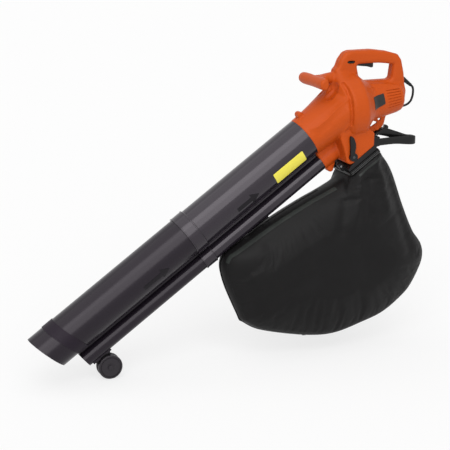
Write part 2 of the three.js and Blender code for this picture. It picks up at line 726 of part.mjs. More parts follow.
// plate behind the impeller, with the cup of the front bearing
function backPlate() {
  const edge = DRUM_R - WALL - GAP;
  return spun(FAN, [
    [PLATE_FRONT, 17], [PLATE_FRONT, edge], [PLATE_REAR, edge], [PLATE_REAR, 30], [44, 20],
    [DRUM_END, 18], [DRUM_END, BEARING_R + GAP], [40, BEARING_R + GAP], [40, 9], [PLATE_FRONT, 9],
    [PLATE_FRONT, 17],
  ], 36);
}

const BEARING_R = 13;
const BEARING_WIDTH = 8;
const FRONT_BEARING = DRUM_END - 9;
const REAR_BEARING = HOUSING_END - 27;

const BLADE_FRONT = DRUM_FACE + WALL + 2;

function impeller() {
  const disc = spun(FAN, [
    [27, 0], [27, IMPELLER_R], [30, IMPELLER_R], [30, 16], [34, 14], [34, 0],
  ], 24);
  const hub = spun(FAN, [[6, 0], [6, 12], [27.5, 22], [27.5, 0]], 16);
  const rim = IMPELLER_R - 2;
  const vane = [[28, 10], [9, 10], [BLADE_FRONT, 22], [BLADE_FRONT, 50], [12, rim], [28, rim]];
  const blades = [];
  for (let i = 0; i < 6; i += 1) {
    const turn = new THREE.Matrix4().makeRotationX((Math.PI * i) / 3 + 0.13);
    blades.push(slab(FAN.clone().multiply(turn), vane, -1.3, 1.3));
  }
  const eye = rod(FAN, -20, 40, SHAFT_R + GAP, 0, 0, SMALL_ROUND);
  const nutRoom = rod(FAN, -20, 5.5, 14, 0, 0, SMALL_ROUND);
  return cut(join(disc, hub, ...blades), eye, nutRoom);
}

function impellerNut() {
  return cut(rod(FAN, -3, 5.2, 8, 0, 0, 6), rod(FAN, -5, 7, SHAFT_R + GAP, 0, 0, 12));
}

function ringOn(from, to, inner, outer, sides = 24) {
  return spun(FAN, [[from, inner], [from, outer], [to, outer], [to, inner], [from, inner]], sides);
}

function bearing(from) {
  return ringOn(from, from + BEARING_WIDTH, SHAFT_R + GAP, BEARING_R, 20);
}

const STATOR_START = DRUM_END + 22;
const STATOR_END = STATOR_START + 48;
const STATOR_R = MOTOR_R - 10;
const STATOR_FLAT = STATOR_R - 5;
const ROTOR_R = 24.5;
const ROTOR_GAP = 0.9;
const COIL_LENGTH = 9;
const COIL_INNER = ROTOR_R + ROTOR_GAP + 1.6;
const COIL_OUTER = STATOR_R - 6;
const COMMUTATOR_R = 13;
const COMMUTATOR_START = STATOR_END + 12;
const COMMUTATOR_END = COMMUTATOR_START + 18;
const BRUSH_LENGTH = 20;

// rotor stack with the shorter ends of its winding
function armature() {
  const bore = SHAFT_R + GAP;
  const winding = ROTOR_R - 4;
  return spun(FAN, [
    [STATOR_START - 6, bore], [STATOR_START - 6, winding], [STATOR_START + 2, winding],
    [STATOR_START + 2, ROTOR_R], [STATOR_END - 2, ROTOR_R], [STATOR_END - 2, winding],
    [STATOR_END + 6, winding], [STATOR_END + 6, bore], [STATOR_START - 6, bore],
  ], 20);
}

function commutator() {
  return ringOn(COMMUTATOR_START, COMMUTATOR_END, SHAFT_R + GAP, COMMUTATOR_R);
}

function stator() {
  const stack = ringOn(STATOR_START, STATOR_END, ROTOR_R + ROTOR_GAP, STATOR_R);
  const flat = (from, to) => block(FAN, STATOR_START - 1, STATOR_END + 1, -MOTOR_R, MOTOR_R, from, to);
  return cut(stack, flat(STATOR_FLAT, MOTOR_R), flat(-MOTOR_R, -STATOR_FLAT));
}

// ring of wound wire at one end of the stator, parted where its leads come out
function fieldCoil(from) {
  const lead = block(FAN, from - 1, from + COIL_LENGTH + 1, 0, STATOR_R, -3, 3);
  return cut(ringOn(from, from + COIL_LENGTH, COIL_INNER, COIL_OUTER), lead);
}

function brush(side) {
  const near = side * (COMMUTATOR_R + GAP);
  const far = side * (COMMUTATOR_R + BRUSH_LENGTH);
  const from = COMMUTATOR_START + 4;
  return block(FAN, from, COMMUTATOR_END - 4, Math.min(near, far), Math.max(near, far), -5, 5);
}

function rearBracket() {
  const edge = MOTOR_TAIL_R - WALL;
  const from = REAR_BEARING - 4;
  return spun(FAN, [
    [from, 9], [from, edge], [from + 3, edge], [from + 3, 17], [from + 13, 17],
    [from + 13, BEARING_R + GAP], [from + 3.5, BEARING_R + GAP], [from + 3.5, 9], [from, 9],
  ], 24);
}

// ---- changeover flap and lever ----

const FLAP_LEAN = 12;

function flap() {
  const half = BOX_HALF - WALL - 2;
  const shaft = pin(TUBE, FLAP_S, -FLAP_DEPTH, FLAP_SHAFT_R, -BOX_HALF - 3, half);
  const place = new THREE.Matrix4().makeTranslation(FLAP_S, 0, -FLAP_DEPTH);
  const turn = new THREE.Matrix4().makeRotationY(rad(FLAP_LEAN));
  const frame = TUBE.clone().multiply(place).multiply(turn);
  const reach = FLAP_DEPTH - TUBE_R - 9;
  const plate = block(frame, -1.6, 1.6, -half, half, 0, reach);
  const square = block(frame, -2, 2, -BOX_HALF - 5, -BOX_HALF - 2, -2, 2);
  return join(shaft, plate, square);
}

function lever() {
  const [x, z] = tubePoint(FLAP_S, FLAP_DEPTH);
  const near = -BOX_HALF - GAP;
  const top = z + LEVER_LENGTH;
  const blade = slab(WORLD, [
    [x - 10, z + 4], [x + 7, z + 4], [x + 4, z + 15], [x + 6.7, z + 28], [x + 5.5, top - 21],
    [x + 1.5, top - 9], [x - 5, top - 1.5], [x - 9.5, top], [x - 12, top - 4], [x - 12, top - 16],
    [x - 10, z + 30], [x - 10.5, z + 15],
  ], near - 9, near - 1, 1.5);
  const boss = pin(WORLD, x, z, 12, near - 10, near, 20);
  const shaftHole = pin(WORLD, x, z, FLAP_SHAFT_R + FIT, near - 5.5, near + 1);
  const screwHole = pin(WORLD, x, z, 2 + GAP, near - 12, near, 12);
  const headRoom = pin(WORLD, x, z, 4 + GAP, near - 12, near - 8, 16);
  return cut(join(blade, boss), shaftHole, screwHole, headRoom);
}

function leverScrew() {
  const [x, z] = tubePoint(FLAP_S, FLAP_DEPTH);
  const near = -BOX_HALF - GAP;
  const head = pin(WORLD, x, z, 4, near - 10, near - 8 - GAP, 16);
  const shank = pin(WORLD, x, z, 2, near - 9, near - 5.5, 12);
  const slot = block(WORLD, x - 2.6, x + 2.6, near - 11, near - 9.2, z - 0.6, z + 0.6);
  return cut(join(head, shank), slot);
}

// ---- collecting bag ----

const FRAME_FRONT = -88;
const FRAME_REAR = 18;

function bagFrame() {
  const top = -FLANGE_DEPTH - GAP;
  const half = BAG_NECK_HALF;
  const outer = slab(TUBE, [
    [FLANGE_FRONT + 4, top], [FLANGE_REAR + 2, top], [FRAME_REAR, top - 6], [FRAME_REAR, -FRAME_DEPTH],
    [FRAME_FRONT, -FRAME_DEPTH], [FRAME_FRONT, top - 6],
  ], -half, half);
  const inner = slab(TUBE, [
    [FLANGE_FRONT + 16, top + 5], [FLANGE_REAR - 4, top + 5], [FRAME_REAR - 4, top - 10],
    [FRAME_REAR - 4, -FRAME_DEPTH - 5], [FRAME_FRONT + 6, -FRAME_DEPTH - 5], [FRAME_FRONT + 6, top - 10],
  ], 4 - half, half - 4);
  const groove = bandRing(FRAME_DEPTH - 11.5, FRAME_DEPTH - 1, -2.2, 6);
  const lug = slab(TUBE, [
    [FRAME_FRONT - 12, -DUCT_SPACING - BLOW_R - 4], [FRAME_FRONT - 3, -DUCT_SPACING - BLOW_R - 4],
    [FRAME_FRONT - 1, top - 2], [FRAME_FRONT + 8, top - 4], [FRAME_FRONT + 6, top - 12],
    [FRAME_FRONT - 8, top - 12],
  ], -34, 34);
  const lugGap = block(TUBE, -200, 0, -24, 24, top - 9, -90);
  const pins = pin(TUBE, LUG_S, -LUG_DEPTH, RIVET_R + GAP, -80, 80, 14);
  return cut(join(outer, rearTongue(), cut(lug, lugGap)), inner, groove, pins);
}

const RIVET_R = 3;
const LUG_S = FRAME_FRONT - 5;
const LUG_DEPTH = FLANGE_DEPTH - 4;

// flat plate that rises behind the exhaust box and carries the latch and the loop
function rearTongue() {
  const plate = slab(NECK, [
    [1.8, -2.1], [10.8, -19.1], [LOOP_X - GAP, -13.1], [LOOP_X - GAP, 12.9], [37.8, 15.9], [22.8, 15.9],
    [1.8, 6.9],
  ], -13, 13);
  const upright = slab(NECK, [
    [24.8, 12.9], [LOOP_X - GAP, 12.9], [LOOP_X - GAP, 40.9], [34.8, 40.9], [24.8, 26.9],
  ], LOOP_HALF - 3, 13);
  return plate.add(upright);
}

const LOOP_X = 43.8;

function bandRing(fromN, toN, shrink, grow) {
  const ring = (from, to, size) => slab(TUBE, [
    [FRAME_FRONT - size, -from], [FRAME_REAR + size, -from],
    [FRAME_REAR + size, -to], [FRAME_FRONT - size, -to],
  ], -BAG_NECK_HALF - size, BAG_NECK_HALF + size);
  return cut(ring(fromN, toN, grow), ring(fromN - 1, toN + 1, shrink));
}

function bagCuff() {
  return bandRing(FRAME_DEPTH - 11, FRAME_DEPTH - 1.5, -2.2 + GAP, 3);
}

function frameRivet(side) {
  const from = side < 0 ? -36 : 22;
  return pin(TUBE, LUG_S, -LUG_DEPTH, RIVET_R, from, from + 14, 14);
}

// points of the bag's neck, placed from the lower end of the frame
function besideFrame(s, offsets) {
  const [x, z] = tubePoint(s, FRAME_DEPTH);
  return offsets.map(([dx, dz, half]) => [x + dx, z + dz, half]);
}

// outline of the filled bag in its own plane, each point with the half thickness of its edge
const BAG_OUTLINE = [
  ...besideFrame(FRAME_FRONT, [[2.5, -1.3, 50], [-4.5, -13.3, 26], [-34.5, -29.3, 6]]),
  [-212, -398, 3], [-305, -445, 3], [-420, -512, 3], [-446, -530, 3], [-457, -552, 3],
  [-458, -579, 3], [-443, -631, 3], [-397, -733, 3], [-334, -771, 3],
  [-206, -803, 3], [-108, -810, 3], [-9, -786, 3], [57, -763, 3], [124, -717, 3], [156, -677, 3],
  [186, -612, 3], [182, -565, 3], [150, -518, 3], [113, -435, 3],
  ...besideFrame(FRAME_REAR, [[64.6, -68.1, 8], [22.6, -16.1, 34], [-3.4, -3.1, 57]]),
];

// rings of the bag: how far out they lie and how much of the full thickness they have
const BAG_RINGS = [[1, 0], [0.965, 0.36], [0.88, 0.66], [0.72, 0.87], [0.45, 0.97]];

const BAG_CENTRE = [-140, -560];

function bagBody() {
  const points = [];
  const rings = [];
  const count = BAG_OUTLINE.length;
  const addRing = ([out, full], side) => {
    rings.push(points.length);
    BAG_OUTLINE.forEach(([x, z, edge]) => {
      const px = BAG_CENTRE[0] + (x - BAG_CENTRE[0]) * out;
      const pz = BAG_CENTRE[1] + (z - BAG_CENTRE[1]) * out;
      points.push(new THREE.Vector3(px, side * (edge + (BAG_HALF - edge) * full), pz));
    });
  };
  [...BAG_RINGS].reverse().forEach((ring) => addRing(ring, -1));
  BAG_RINGS.forEach((ring) => addRing(ring, 1));
  const near = points.push(new THREE.Vector3(BAG_CENTRE[0], -BAG_HALF, BAG_CENTRE[1])) - 1;
  const far = points.push(new THREE.Vector3(BAG_CENTRE[0], BAG_HALF, BAG_CENTRE[1])) - 1;
  const faces = [];
  for (let i = 0; i < count; i += 1) {
    const j = (i + 1) % count;
    rings.slice(1).forEach((ring, k) => {
      faces.push(ring + i, rings[k] + i, rings[k] + j, ring + i, rings[k] + j, ring + j);
    });
    faces.push(near, rings[0] + j, rings[0] + i);
    faces.push(far, rings[rings.length - 1] + i, rings[rings.length - 1] + j);
  }
  const geometry = new THREE.BufferGeometry().setFromPoints(points);
  geometry.setIndex(faces);
  const bag = solid(geometry);
  const body = bag.volume() < 0 ? solid(flipped(geometry)) : bag;
  return cut(body, block(TUBE, -125, 120, -200, 200, -FRAME_DEPTH - GAP, 0));
}

// carrying loop of webbing behind the bag neck
function carryLoop() {
  const tall = slab(NECK, [
    [LOOP_X, 41.9], [76.8, 33.4], [114.8, 19.9], [142.8, 9.4], [142.8, -16.1], [110.8, -4.1],
    [76.8, 8.4], [LOOP_X, 16.9],
  ], LOOP_HALF - 3, LOOP_HALF);
  const low = slab(NECK, [
    [LOOP_X, 7.9], [94.8, 9.9], [142.8, 8.9], [142.8, -17.1], [118.8, -14.6], [89.8, -11.6],
    [66.8, -11.1], [LOOP_X, -13.1],
  ], -LOOP_HALF, 3 - LOOP_HALF);
  const end = slab(NECK, [
    [140.8, 9.4], [160.8, 8.9], [166.8, 1.9], [165.8, -7.1], [159.8, -16.1], [148.8, -20.6],
    [140.8, -17.1],
  ], -LOOP_HALF, LOOP_HALF);
  const bend = post(NECK, LOOP_TURN, 0, LOOP_HALF, -60, 50, 16).add(
    block(NECK, LOOP_TURN - 26, LOOP_TURN, -LOOP_HALF, LOOP_HALF, -60, 50));
  const slot = post(NECK, LOOP_TURN, 0, LOOP_HALF - 3, -60, 50, 16).add(
    block(NECK, LOOP_TURN - 26, LOOP_TURN, 3 - LOOP_HALF, LOOP_HALF - 3, -60, 50));
  return join(tall, low, end.intersect(bend).subtract(slot));
}

const LOOP_HALF = 10;
const LOOP_TURN = LOOP_X + 113;

const LATCH_PIN = [31.8, 19.4];
const LATCH_PIN_R = 1.5;

function bagLatch() {
  const [x, z] = LATCH_PIN;
  const bar = slab(NECK, [
    [x - 4, z + 4], [x + 31, z + 20], [x + 32, z + 25.5], [x + 36, z + 26.5], [x + 40, z + 21.5],
    [x + 39, z + 17], [x + 32, z + 15.5], [x + 3, z - 3], [x - 4, z - 3],
  ], -11, LOOP_HALF - 4);
  return cut(bar, pin(NECK, x, z, LATCH_PIN_R + GAP, -20, 20, 10));
}

function latchPin() {
  return pin(NECK, ...LATCH_PIN, LATCH_PIN_R, -13, LOOP_HALF - 3 - GAP, 10);
}

// strap from the front of the bag's top seam to a stud under the blow tube
function hangerStrap() {
  const low = DUCT_SPACING + BLOW_R;
  const strap = slab(TUBE, [
    [HANGER_S + 9, -low - 3.5], [HANGER_S + 9, -low - 1.2], [HANGER_S - 66, -low - 1.2],
    [HANGER_S - 68, -low - 3.5],
  ], -8, 8);
  return cut(strap, block(TUBE, HANGER_S - 4.5, HANGER_S + 4.5, -4.5, 4.5, -low - 9, -low + 9));
}

const HANGER_S = -352;

function hangerStud() {
  const low = DUCT_SPACING + BLOW_R;
  const neck = block(TUBE, HANGER_S - 3, HANGER_S + 3, -3, 3, -low - 5, -low + 1.5);
  const head = block(TUBE, HANGER_S - 5.5, HANGER_S + 5.5, -3, 3, -low - 6.5, -low - 4);
  return join(neck, head);
}

// slider of the zip along the bag's bottom seam, with its pull lying on the seam
const ZIP_FROM = [-206, -803];
const ZIP_TO = [-108, -810];

function zipSlider() {
  const lean = THREE.MathUtils.radToDeg(Math.atan2(ZIP_TO[1] - ZIP_FROM[1], ZIP_TO[0] - ZIP_FROM[0]));
  const frame = frameAt(ZIP_FROM[0], ZIP_FROM[1], lean);
  const body = block(frame, 6, 18, -4.5, 4.5, -3.2 - GAP, -GAP);
  const pull = block(frame, 17, 40, -2, 2, -2.6, -1.2);
  return join(body, pull);
}

// ---- plates and film ----

function namePlate() {
  const skin = (lift) => spun(FAN, [
    [DRUM_END, 0], ...DRUM_TOP.slice(5, 9).map(([a, r]) => [a, r + lift]), [HOUSING_END - 22, 0],
  ], 48);
  const window = slab(FAN, [[87, 23], [127, 26], [127, -4], [89, -14]], -90, -20);
  return cut(skin(1.1), skin(GAP), shoulder(GAP)).intersect(window);
}

function tubeFilm() {
  const film = cut(rod(TUBE, -276, -169, TUBE_R + 0.75, 0, 0, 80),
    rod(TUBE, -277, -168, TUBE_R + GAP, 0, 0, 80));
  return film.intersect(block(TUBE, -300, -100, -70, -20, -34, 0));
}

// ---- mains lead ----

const CORD_POINTS = [
  [136.7, 0, -90.4], [140.2, 0.2, -93.3], [143.6, 1.2, -100.5], [145.6, 4, -113], [146, 9, -127],
  [144.5, 17, -140.5], [138.5, 29, -151.5], [127, 46, -158], [110, 66, -159], [89, 86, -157],
  [66, 103.5, -157], [45, 115, -165], [28, 121, -182], [18, 124, -205], [12, 125, -232],
  [10, 125, -262],
];

function sleeveFrame() {
  const turn = new THREE.Matrix4().makeRotationY(rad(37.5));
  return new THREE.Matrix4().makeTranslation(104, 0, -65.3).multiply(turn);
}

function sleeve() {
  return spun(sleeveFrame(), [
    [-14, 0], [-14, 9], [-11.2, 9], [-11.2, 6.6], [8, 6.4], [SLEEVE_END, 4.4], [SLEEVE_END, 0],
  ], 16);
}

function sleeveHole() {
  return rod(sleeveFrame(), -10.8, 20, 6.6 + FIT, 0, 0, 16);
}

function cord() {
  const points = CORD_POINTS.map(([x, y, z]) => new THREE.Vector3(x, y, z));
  const path = new THREE.CatmullRomCurve3(points);
  return wire(path.getSpacedPoints(24), CORD_R, 8);
}

function plug() {
  const end = CORD_POINTS[CORD_POINTS.length - 1];
  const turn = new THREE.Matrix4().makeRotationY(Math.PI / 2);
  const frame = new THREE.Matrix4().makeTranslation(end[0], end[1], end[2] - GAP).multiply(turn);
  const body = spun(frame, [
    [0, 0], [0, 5], [14, 7], [22, PLUG_R - 3], [30, PLUG_R], [44, PLUG_R], [44, 0],
  ], 24);
  return { body, frame };
}

function plugPin(side) {
  const { frame } = plug();
  return rod(frame, 44 + GAP, 44 + 19, 2.4, (side * PIN_SPACING) / 2, 0, 14);
}

// ---- materials and assembly ----

function paint(name, color, roughness, metalness = 0) {
  return { name, color, roughness, metalness };
}

const ORANGE = paint('housing_orange', 0xd2561f, 0.45);
const SMOKE = paint('tube_smoke', 0x38333a, 0.25);
const BLACK = paint('black_plastic', 0x17171a, 0.5);
const FABRIC = paint('bag_fabric', 0x242325, 0.9);
const WEBBING = paint('webbing', 0x151516, 0.85);
const STEEL = paint('steel', 0xb4b6b8, 0.35, 1);
const COPPER = paint('copper', 0xb46a3c, 0.4, 1);
const LAMINATE = paint('laminations', 0x5a5c60, 0.5, 1);
const BOARD = paint('circuit_board', 0x1f5b3a, 0.6);
const FILM = paint('yellow_film', 0xefe052, 0.5);
const SLATE = paint('name_plate', 0x262d33, 0.4);
const RUBBER = paint('cord_rubber', 0x121213, 0.7);
const CARBON = paint('brush_carbon', 0x2b2b2d, 0.6);

const root = new THREE.Group();
root.name = 'leaf_blower';

function add(name, body, look) {
  const data = body.getMesh();
  const geometry = new THREE.BufferGeometry();
  geometry.setAttribute('position', new THREE.BufferAttribute(new Float32Array(data.vertProperties), 3));
  geometry.setIndex(new THREE.BufferAttribute(new Uint32Array(data.triVerts), 1));
  const material = new THREE.MeshStandardMaterial({
    color: look.color,
    roughness: look.roughness,
    metalness: look.metalness,
  });
  material.name = `${look.name}_${name}`;
  const mesh = new THREE.Mesh(geometry, material);
  mesh.name = name;
  root.add(mesh);
}

const [shellLeft, shellRight] = shells();
add('housing_shell_left', shellLeft, ORANGE);
add('housing_shell_right', shellRight, ORANGE);
SCREW_SPOTS.forEach((spot, i) => add(`housing_screw_${i + 1}`, housingScrew(spot), STEEL));
add('front_handle_bar', frontBar(), ORANGE);
add('front_handle_bolt', barBolt(), STEEL);
add('trigger', trigger(), BLACK);
add('trigger_pin', triggerPin(), STEEL);
add('trigger_spring', triggerSpring(), STEEL);
add('switch_module', switchModule(), BLACK);
add('speed_dial', speedDial(), BLACK);
add('dial_board', dialBoard(), BOARD);
add('fan_back_plate', backPlate(), BLACK);
add('impeller', impeller(), BLACK);
add('impeller_nut', impellerNut(), STEEL);
add('motor_shaft', rod(FAN, -6, REAR_BEARING + 11, SHAFT_R, 0, 0, SMALL_ROUND), STEEL);
add('bearing_front', bearing(FRONT_BEARING), STEEL);
add('bearing_rear', bearing(REAR_BEARING), STEEL);
add('armature', armature(), LAMINATE);
add('commutator', commutator(), COPPER);
add('stator', stator(), LAMINATE);
add('field_coil_front', fieldCoil(STATOR_START - COIL_LENGTH - 2 * GAP), COPPER);
add('field_coil_rear', fieldCoil(STATOR_END + 2 * GAP), COPPER);
add('brush_left', brush(-1), CARBON);
add('brush_right', brush(1), CARBON);
add('motor_rear_bracket', rearBracket(), BLACK);
add('changeover_flap', flap(), BLACK);
add('changeover_lever', lever(), BLACK);
add('lever_screw', leverScrew(), STEEL);
add('tube_upper', upperTube(), SMOKE);
add('tube_lower', lowerTube(), SMOKE);
add('tube_film', tubeFilm(), FILM);
add('wheel_bracket', wheelBracket(), BLACK);
add('wheel_left', wheelDisc(-1), BLACK);
add('wheel_right', wheelDisc(1), BLACK);
add('wheel_axle', axle(), STEEL);
add('name_plate', namePlate(), SLATE);
add('bag_frame', bagFrame(), BLACK);
add('bag_latch', bagLatch(), BLACK);
add('bag_latch_pin', latchPin(), STEEL);
add('bag_rivet_left', frameRivet(-1), STEEL);
add('bag_rivet_right', frameRivet(1), STEEL);
add('bag_cuff', bagCuff(), WEBBING);
add('bag_body', bagBody(), FABRIC);
add('bag_carry_loop', carryLoop(), WEBBING);
add('bag_hanger_strap', hangerStrap(), WEBBING);
add('bag_zip_slider', zipSlider(), BLACK);
add('cord_sleeve', sleeve(), RUBBER);
add('cord', cord(), RUBBER);
add('plug_body', plug().body, RUBBER);
add('plug_pin_left', plugPin(-1), STEEL);
add('plug_pin_right', plugPin(1), STEEL);

export default root;
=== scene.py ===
"""Electric garden blower and vacuum with a collecting bag: its surfaces, fabric and lead.

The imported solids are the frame. Lengths are in metres, +Z is up and +X points to the rear.
"""

import math

import bmesh
import bpy
import numpy as np
from mathutils import Matrix, Vector
from mathutils.bvhtree import BVHTree


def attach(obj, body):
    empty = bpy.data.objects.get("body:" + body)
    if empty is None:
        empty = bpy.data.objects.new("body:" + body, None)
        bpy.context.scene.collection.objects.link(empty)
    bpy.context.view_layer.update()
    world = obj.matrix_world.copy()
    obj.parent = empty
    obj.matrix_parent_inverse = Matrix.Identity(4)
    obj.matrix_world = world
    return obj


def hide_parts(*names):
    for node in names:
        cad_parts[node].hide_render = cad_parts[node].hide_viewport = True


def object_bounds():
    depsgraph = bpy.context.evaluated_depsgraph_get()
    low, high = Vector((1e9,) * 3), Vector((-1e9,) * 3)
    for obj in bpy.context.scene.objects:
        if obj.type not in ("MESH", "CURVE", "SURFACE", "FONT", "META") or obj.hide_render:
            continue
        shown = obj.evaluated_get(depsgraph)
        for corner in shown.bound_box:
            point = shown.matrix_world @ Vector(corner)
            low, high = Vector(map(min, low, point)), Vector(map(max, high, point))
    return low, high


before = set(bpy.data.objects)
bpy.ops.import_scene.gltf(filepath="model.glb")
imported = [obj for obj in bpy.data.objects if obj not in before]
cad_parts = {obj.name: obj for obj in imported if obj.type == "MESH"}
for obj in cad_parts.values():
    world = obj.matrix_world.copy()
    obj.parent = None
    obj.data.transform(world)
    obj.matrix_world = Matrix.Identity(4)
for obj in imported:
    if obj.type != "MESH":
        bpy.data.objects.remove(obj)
cad_box = [list(corner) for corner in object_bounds()]
scene = bpy.context.scene
scene.view_settings.view_transform = "Standard"

# ---------------------------------------------------------------------------------------------
# Camera
# It stands at the left front of the machine, a little above it, and sees the whole length.

AZIMUTH = math.radians(-22.1)
ELEVATION = math.radians(15.0)
AIM = Vector((-0.443, 0.0, -0.449))
STAND_OFF = 3.864

camera_data = bpy.data.cameras.new("camera")
camera_data.lens = 110.4
camera_data.sensor_width = 36
camera = bpy.data.objects.new("camera", camera_data)
scene.collection.objects.link(camera)
toward = Vector((
    math.sin(AZIMUTH) * math.cos(ELEVATION),
    -math.cos(AZIMUTH) * math.cos(ELEVATION),
    math.sin(ELEVATION),
))
camera.location = AIM + STAND_OFF * toward
camera.rotation_euler = toward.to_track_quat("Z", "Y").to_euler()
scene.camera = camera

# ---------------------------------------------------------------------------------------------
# Mains lead
# A rubber lead of 6.5 mm comes straight out of its sleeve, bends down and hangs beside the
# housing. Its far end is moulded into a round plug with two contact pins.

LEAD_DIAMETER = 0.0065
LEAD_ROUTE = [
    (0.1367, 0, -0.0904), (0.1402, 0.0002, -0.0933), (0.1436, 0.0012, -0.1005),
    (0.1456, 0.004, -0.113), (0.146, 0.009, -0.127), (0.1445, 0.017, -0.1405),
    (0.1385, 0.029, -0.1515), (0.127, 0.046, -0.158), (0.110, 0.066, -0.159),
    (0.089, 0.086, -0.157), (0.066, 0.1035, -0.157), (0.045, 0.115, -0.165),
    (0.028, 0.121, -0.182), (0.018, 0.124, -0.205), (0.012, 0.125, -0.232), (0.010, 0.125, -0.262),
]
RUBBER_BLACK = (0.012, 0.012, 0.013)


def texture_group(name, inputs, outputs):
    """An empty shader group with the named inputs and outputs, and its two end nodes."""
    group = bpy.data.node_groups.new(name, "ShaderNodeTree")
    for label, value in inputs:
        socket = group.interface.new_socket(label, in_out="INPUT", socket_type="NodeSocketFloat")
        socket.default_value = value
    for label in outputs:
        group.interface.new_socket(label, in_out="OUTPUT", socket_type="NodeSocketFloat")
    return group, group.nodes.new("NodeGroupInput"), group.nodes.new("NodeGroupOutput")


def calculate(tree, operation, *values, clamp=False):
    """A Math node fed with sockets or numbers. It returns its output socket."""
    node = tree.nodes.new("ShaderNodeMath")
    node.operation = operation
    node.use_clamp = clamp
    for socket, value in zip(node.inputs, values):
        if isinstance(value, bpy.types.NodeSocket):
            tree.links.new(value, socket)
        else:
            socket.default_value = value
    return node.outputs[0]


def noise(tree, place, scale, detail=2.0):
    """Noise over a place, at so many waves for each metre."""
    node = tree.nodes.new("ShaderNodeTexNoise")
    node.inputs["Detail"].default_value = detail
    tree.links.new(place, node.inputs["Vector"])
    if isinstance(scale, bpy.types.NodeSocket):
        tree.links.new(scale, node.inputs["Scale"])
    else:
        node.inputs["Scale"].default_value = scale
    return node.outputs["Fac"]


def mould_texture():
    """What a spark-eroded mould leaves: fine grain, slow sink marks, and handling dust."""
    group, start, end = texture_group(
        "mould_texture",
        [("Grain per metre", 2600.0), ("Grain depth", 0.4), ("Sink", 0.3), ("Rub", 0.12)],
        ["Height", "Gloss change", "Tint"],
    )
    place = group.nodes.new("ShaderNodeTexCoord").outputs["Object"]
    grain = noise(group, place, start.outputs["Grain per metre"], 3.0)
    sink = noise(group, place, 14.0, 1.0)
    rub = noise(group, place, 55.0, 6.0)
    low = calculate(group, "MULTIPLY", grain, start.outputs["Grain depth"])
    height = calculate(group, "MULTIPLY_ADD", sink, start.outputs["Sink"], low)
    centred = calculate(group, "SUBTRACT", rub, 0.5)
    gloss = calculate(group, "MULTIPLY", centred, start.outputs["Rub"])
    tint = calculate(group, "MULTIPLY_ADD", sink, 0.5, calculate(group, "MULTIPLY", rub, 0.5))
    for label, value in (("Height", height), ("Gloss change", gloss), ("Tint", tint)):
        group.links.new(value, end.inputs[label])
    return group


MOULD_TEXTURE = mould_texture()


def new_material(name, colour, roughness, metallic=0.0, coat=0.0, shine=0.3):
    """A material with its Principled shader set to plain values."""
    made = bpy.data.materials.new(name)
    made.use_nodes = True
    made.diffuse_color = (*colour, 1)
    shader = made.node_tree.nodes["Principled BSDF"]
    shader.inputs["Base Color"].default_value = (*colour, 1)
    shader.inputs["Roughness"].default_value = roughness
    shader.inputs["Metallic"].default_value = metallic
    shader.inputs["Coat Weight"].default_value = coat
    shader.inputs["Specular IOR Level"].default_value = shine
    return made, made.node_tree, shader


def tinted(tree, shader, factor, colour, spread):
    """Base colour that drifts a little round the given one, as pigment does."""
    mix = tree.nodes.new("ShaderNodeMix")
    mix.data_type = "RGBA"
    mix.inputs["A"].default_value = (*(c * (1 - spread) for c in colour), 1)
    mix.inputs["B"].default_value = (*(min(1.0, c * (1 + spread)) for c in colour), 1)
    tree.links.new(factor, mix.inputs["Factor"])
    tree.links.new(mix.outputs["Result"], shader.inputs["Base Color"])


def bumped(tree, shader, height, strength, distance):
    bump = tree.nodes.new("ShaderNodeBump")
    bump.inputs["Strength"].default_value = strength
    bump.inputs["Distance"].default_value = distance
    tree.links.new(height, bump.inputs["Height"])
    tree.links.new(bump.outputs["Normal"], shader.inputs["Normal"])


def moulded(name, colour, roughness, grain=2600.0, depth=0.4, sink=0.3, rub=0.12, spread=0.06,
            metallic=0.0, coat=0.0, distance=0.00025, shine=0.3):
    """Moulded plastic, rubber or metal with the mould's texture at its own scale."""
    made, tree, shader = new_material(name, colour, roughness, metallic, coat, shine)
    texture = tree.nodes.new("ShaderNodeGroup")
    texture.node_tree = MOULD_TEXTURE
    values = {"Grain per metre": grain, "Grain depth": depth, "Sink": sink, "Rub": rub}
    for label, value in values.items():
        texture.inputs[label].default_value = value
    rough = calculate(tree, "ADD", texture.outputs["Gloss change"], roughness, clamp=True)
    tree.links.new(rough, shader.inputs["Roughness"])
    tinted(tree, shader, texture.outputs["Tint"], colour, spread)
    bumped(tree, shader, texture.outputs["Height"], 0.5, distance)
    return made


def object_from(mesh, name, made=None):
    """A new object for the mesh, at the origin, with one material."""
    piece = bpy.data.objects.new(name, mesh)
    scene.collection.objects.link(piece)
    if made is not None:
        piece.data.materials.clear()
        piece.data.materials.append(made)
    return piece


def built(body, name, matrix=None, made=None):
    """The object for a bmesh: its faces are turned outwards, then the matrix places it."""
    bmesh.ops.recalc_face_normals(body, faces=body.faces)
    if matrix is not None:
        body.transform(matrix)
    mesh = bpy.data.meshes.new(name)
    body.to_mesh(mesh)
    body.free()
    return object_from(mesh, name, made)


def bridged(body, rings, capped=False):
    """Faces from each ring of corners to the next, and over both ends where it is capped."""
    for one, other in zip(rings, rings[1:]):
        for i in range(len(one)):
            j = (i + 1) % len(one)
            body.faces.new((one[i], one[j], other[j], other[i]))
    if capped:
        body.faces.new(rings[0])
        body.faces.new(rings[-1][::-1])


def settle(piece, body, slot, *nodes):
    """The piece rides on a body and stands for the CAD nodes named. The slot is not used."""
    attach(piece, body)
    if nodes:
        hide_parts(*nodes)
    return piece


def dress(made, *nodes):
    """Gives CAD nodes a material, and leaves their shapes alone."""
    for node in nodes:
        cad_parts[node].data.materials.clear()
        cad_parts[node].data.materials.append(made)


LEAD_RUBBER = moulded("lead_rubber", RUBBER_BLACK, 0.55, grain=1500, depth=0.5, distance=0.0002)

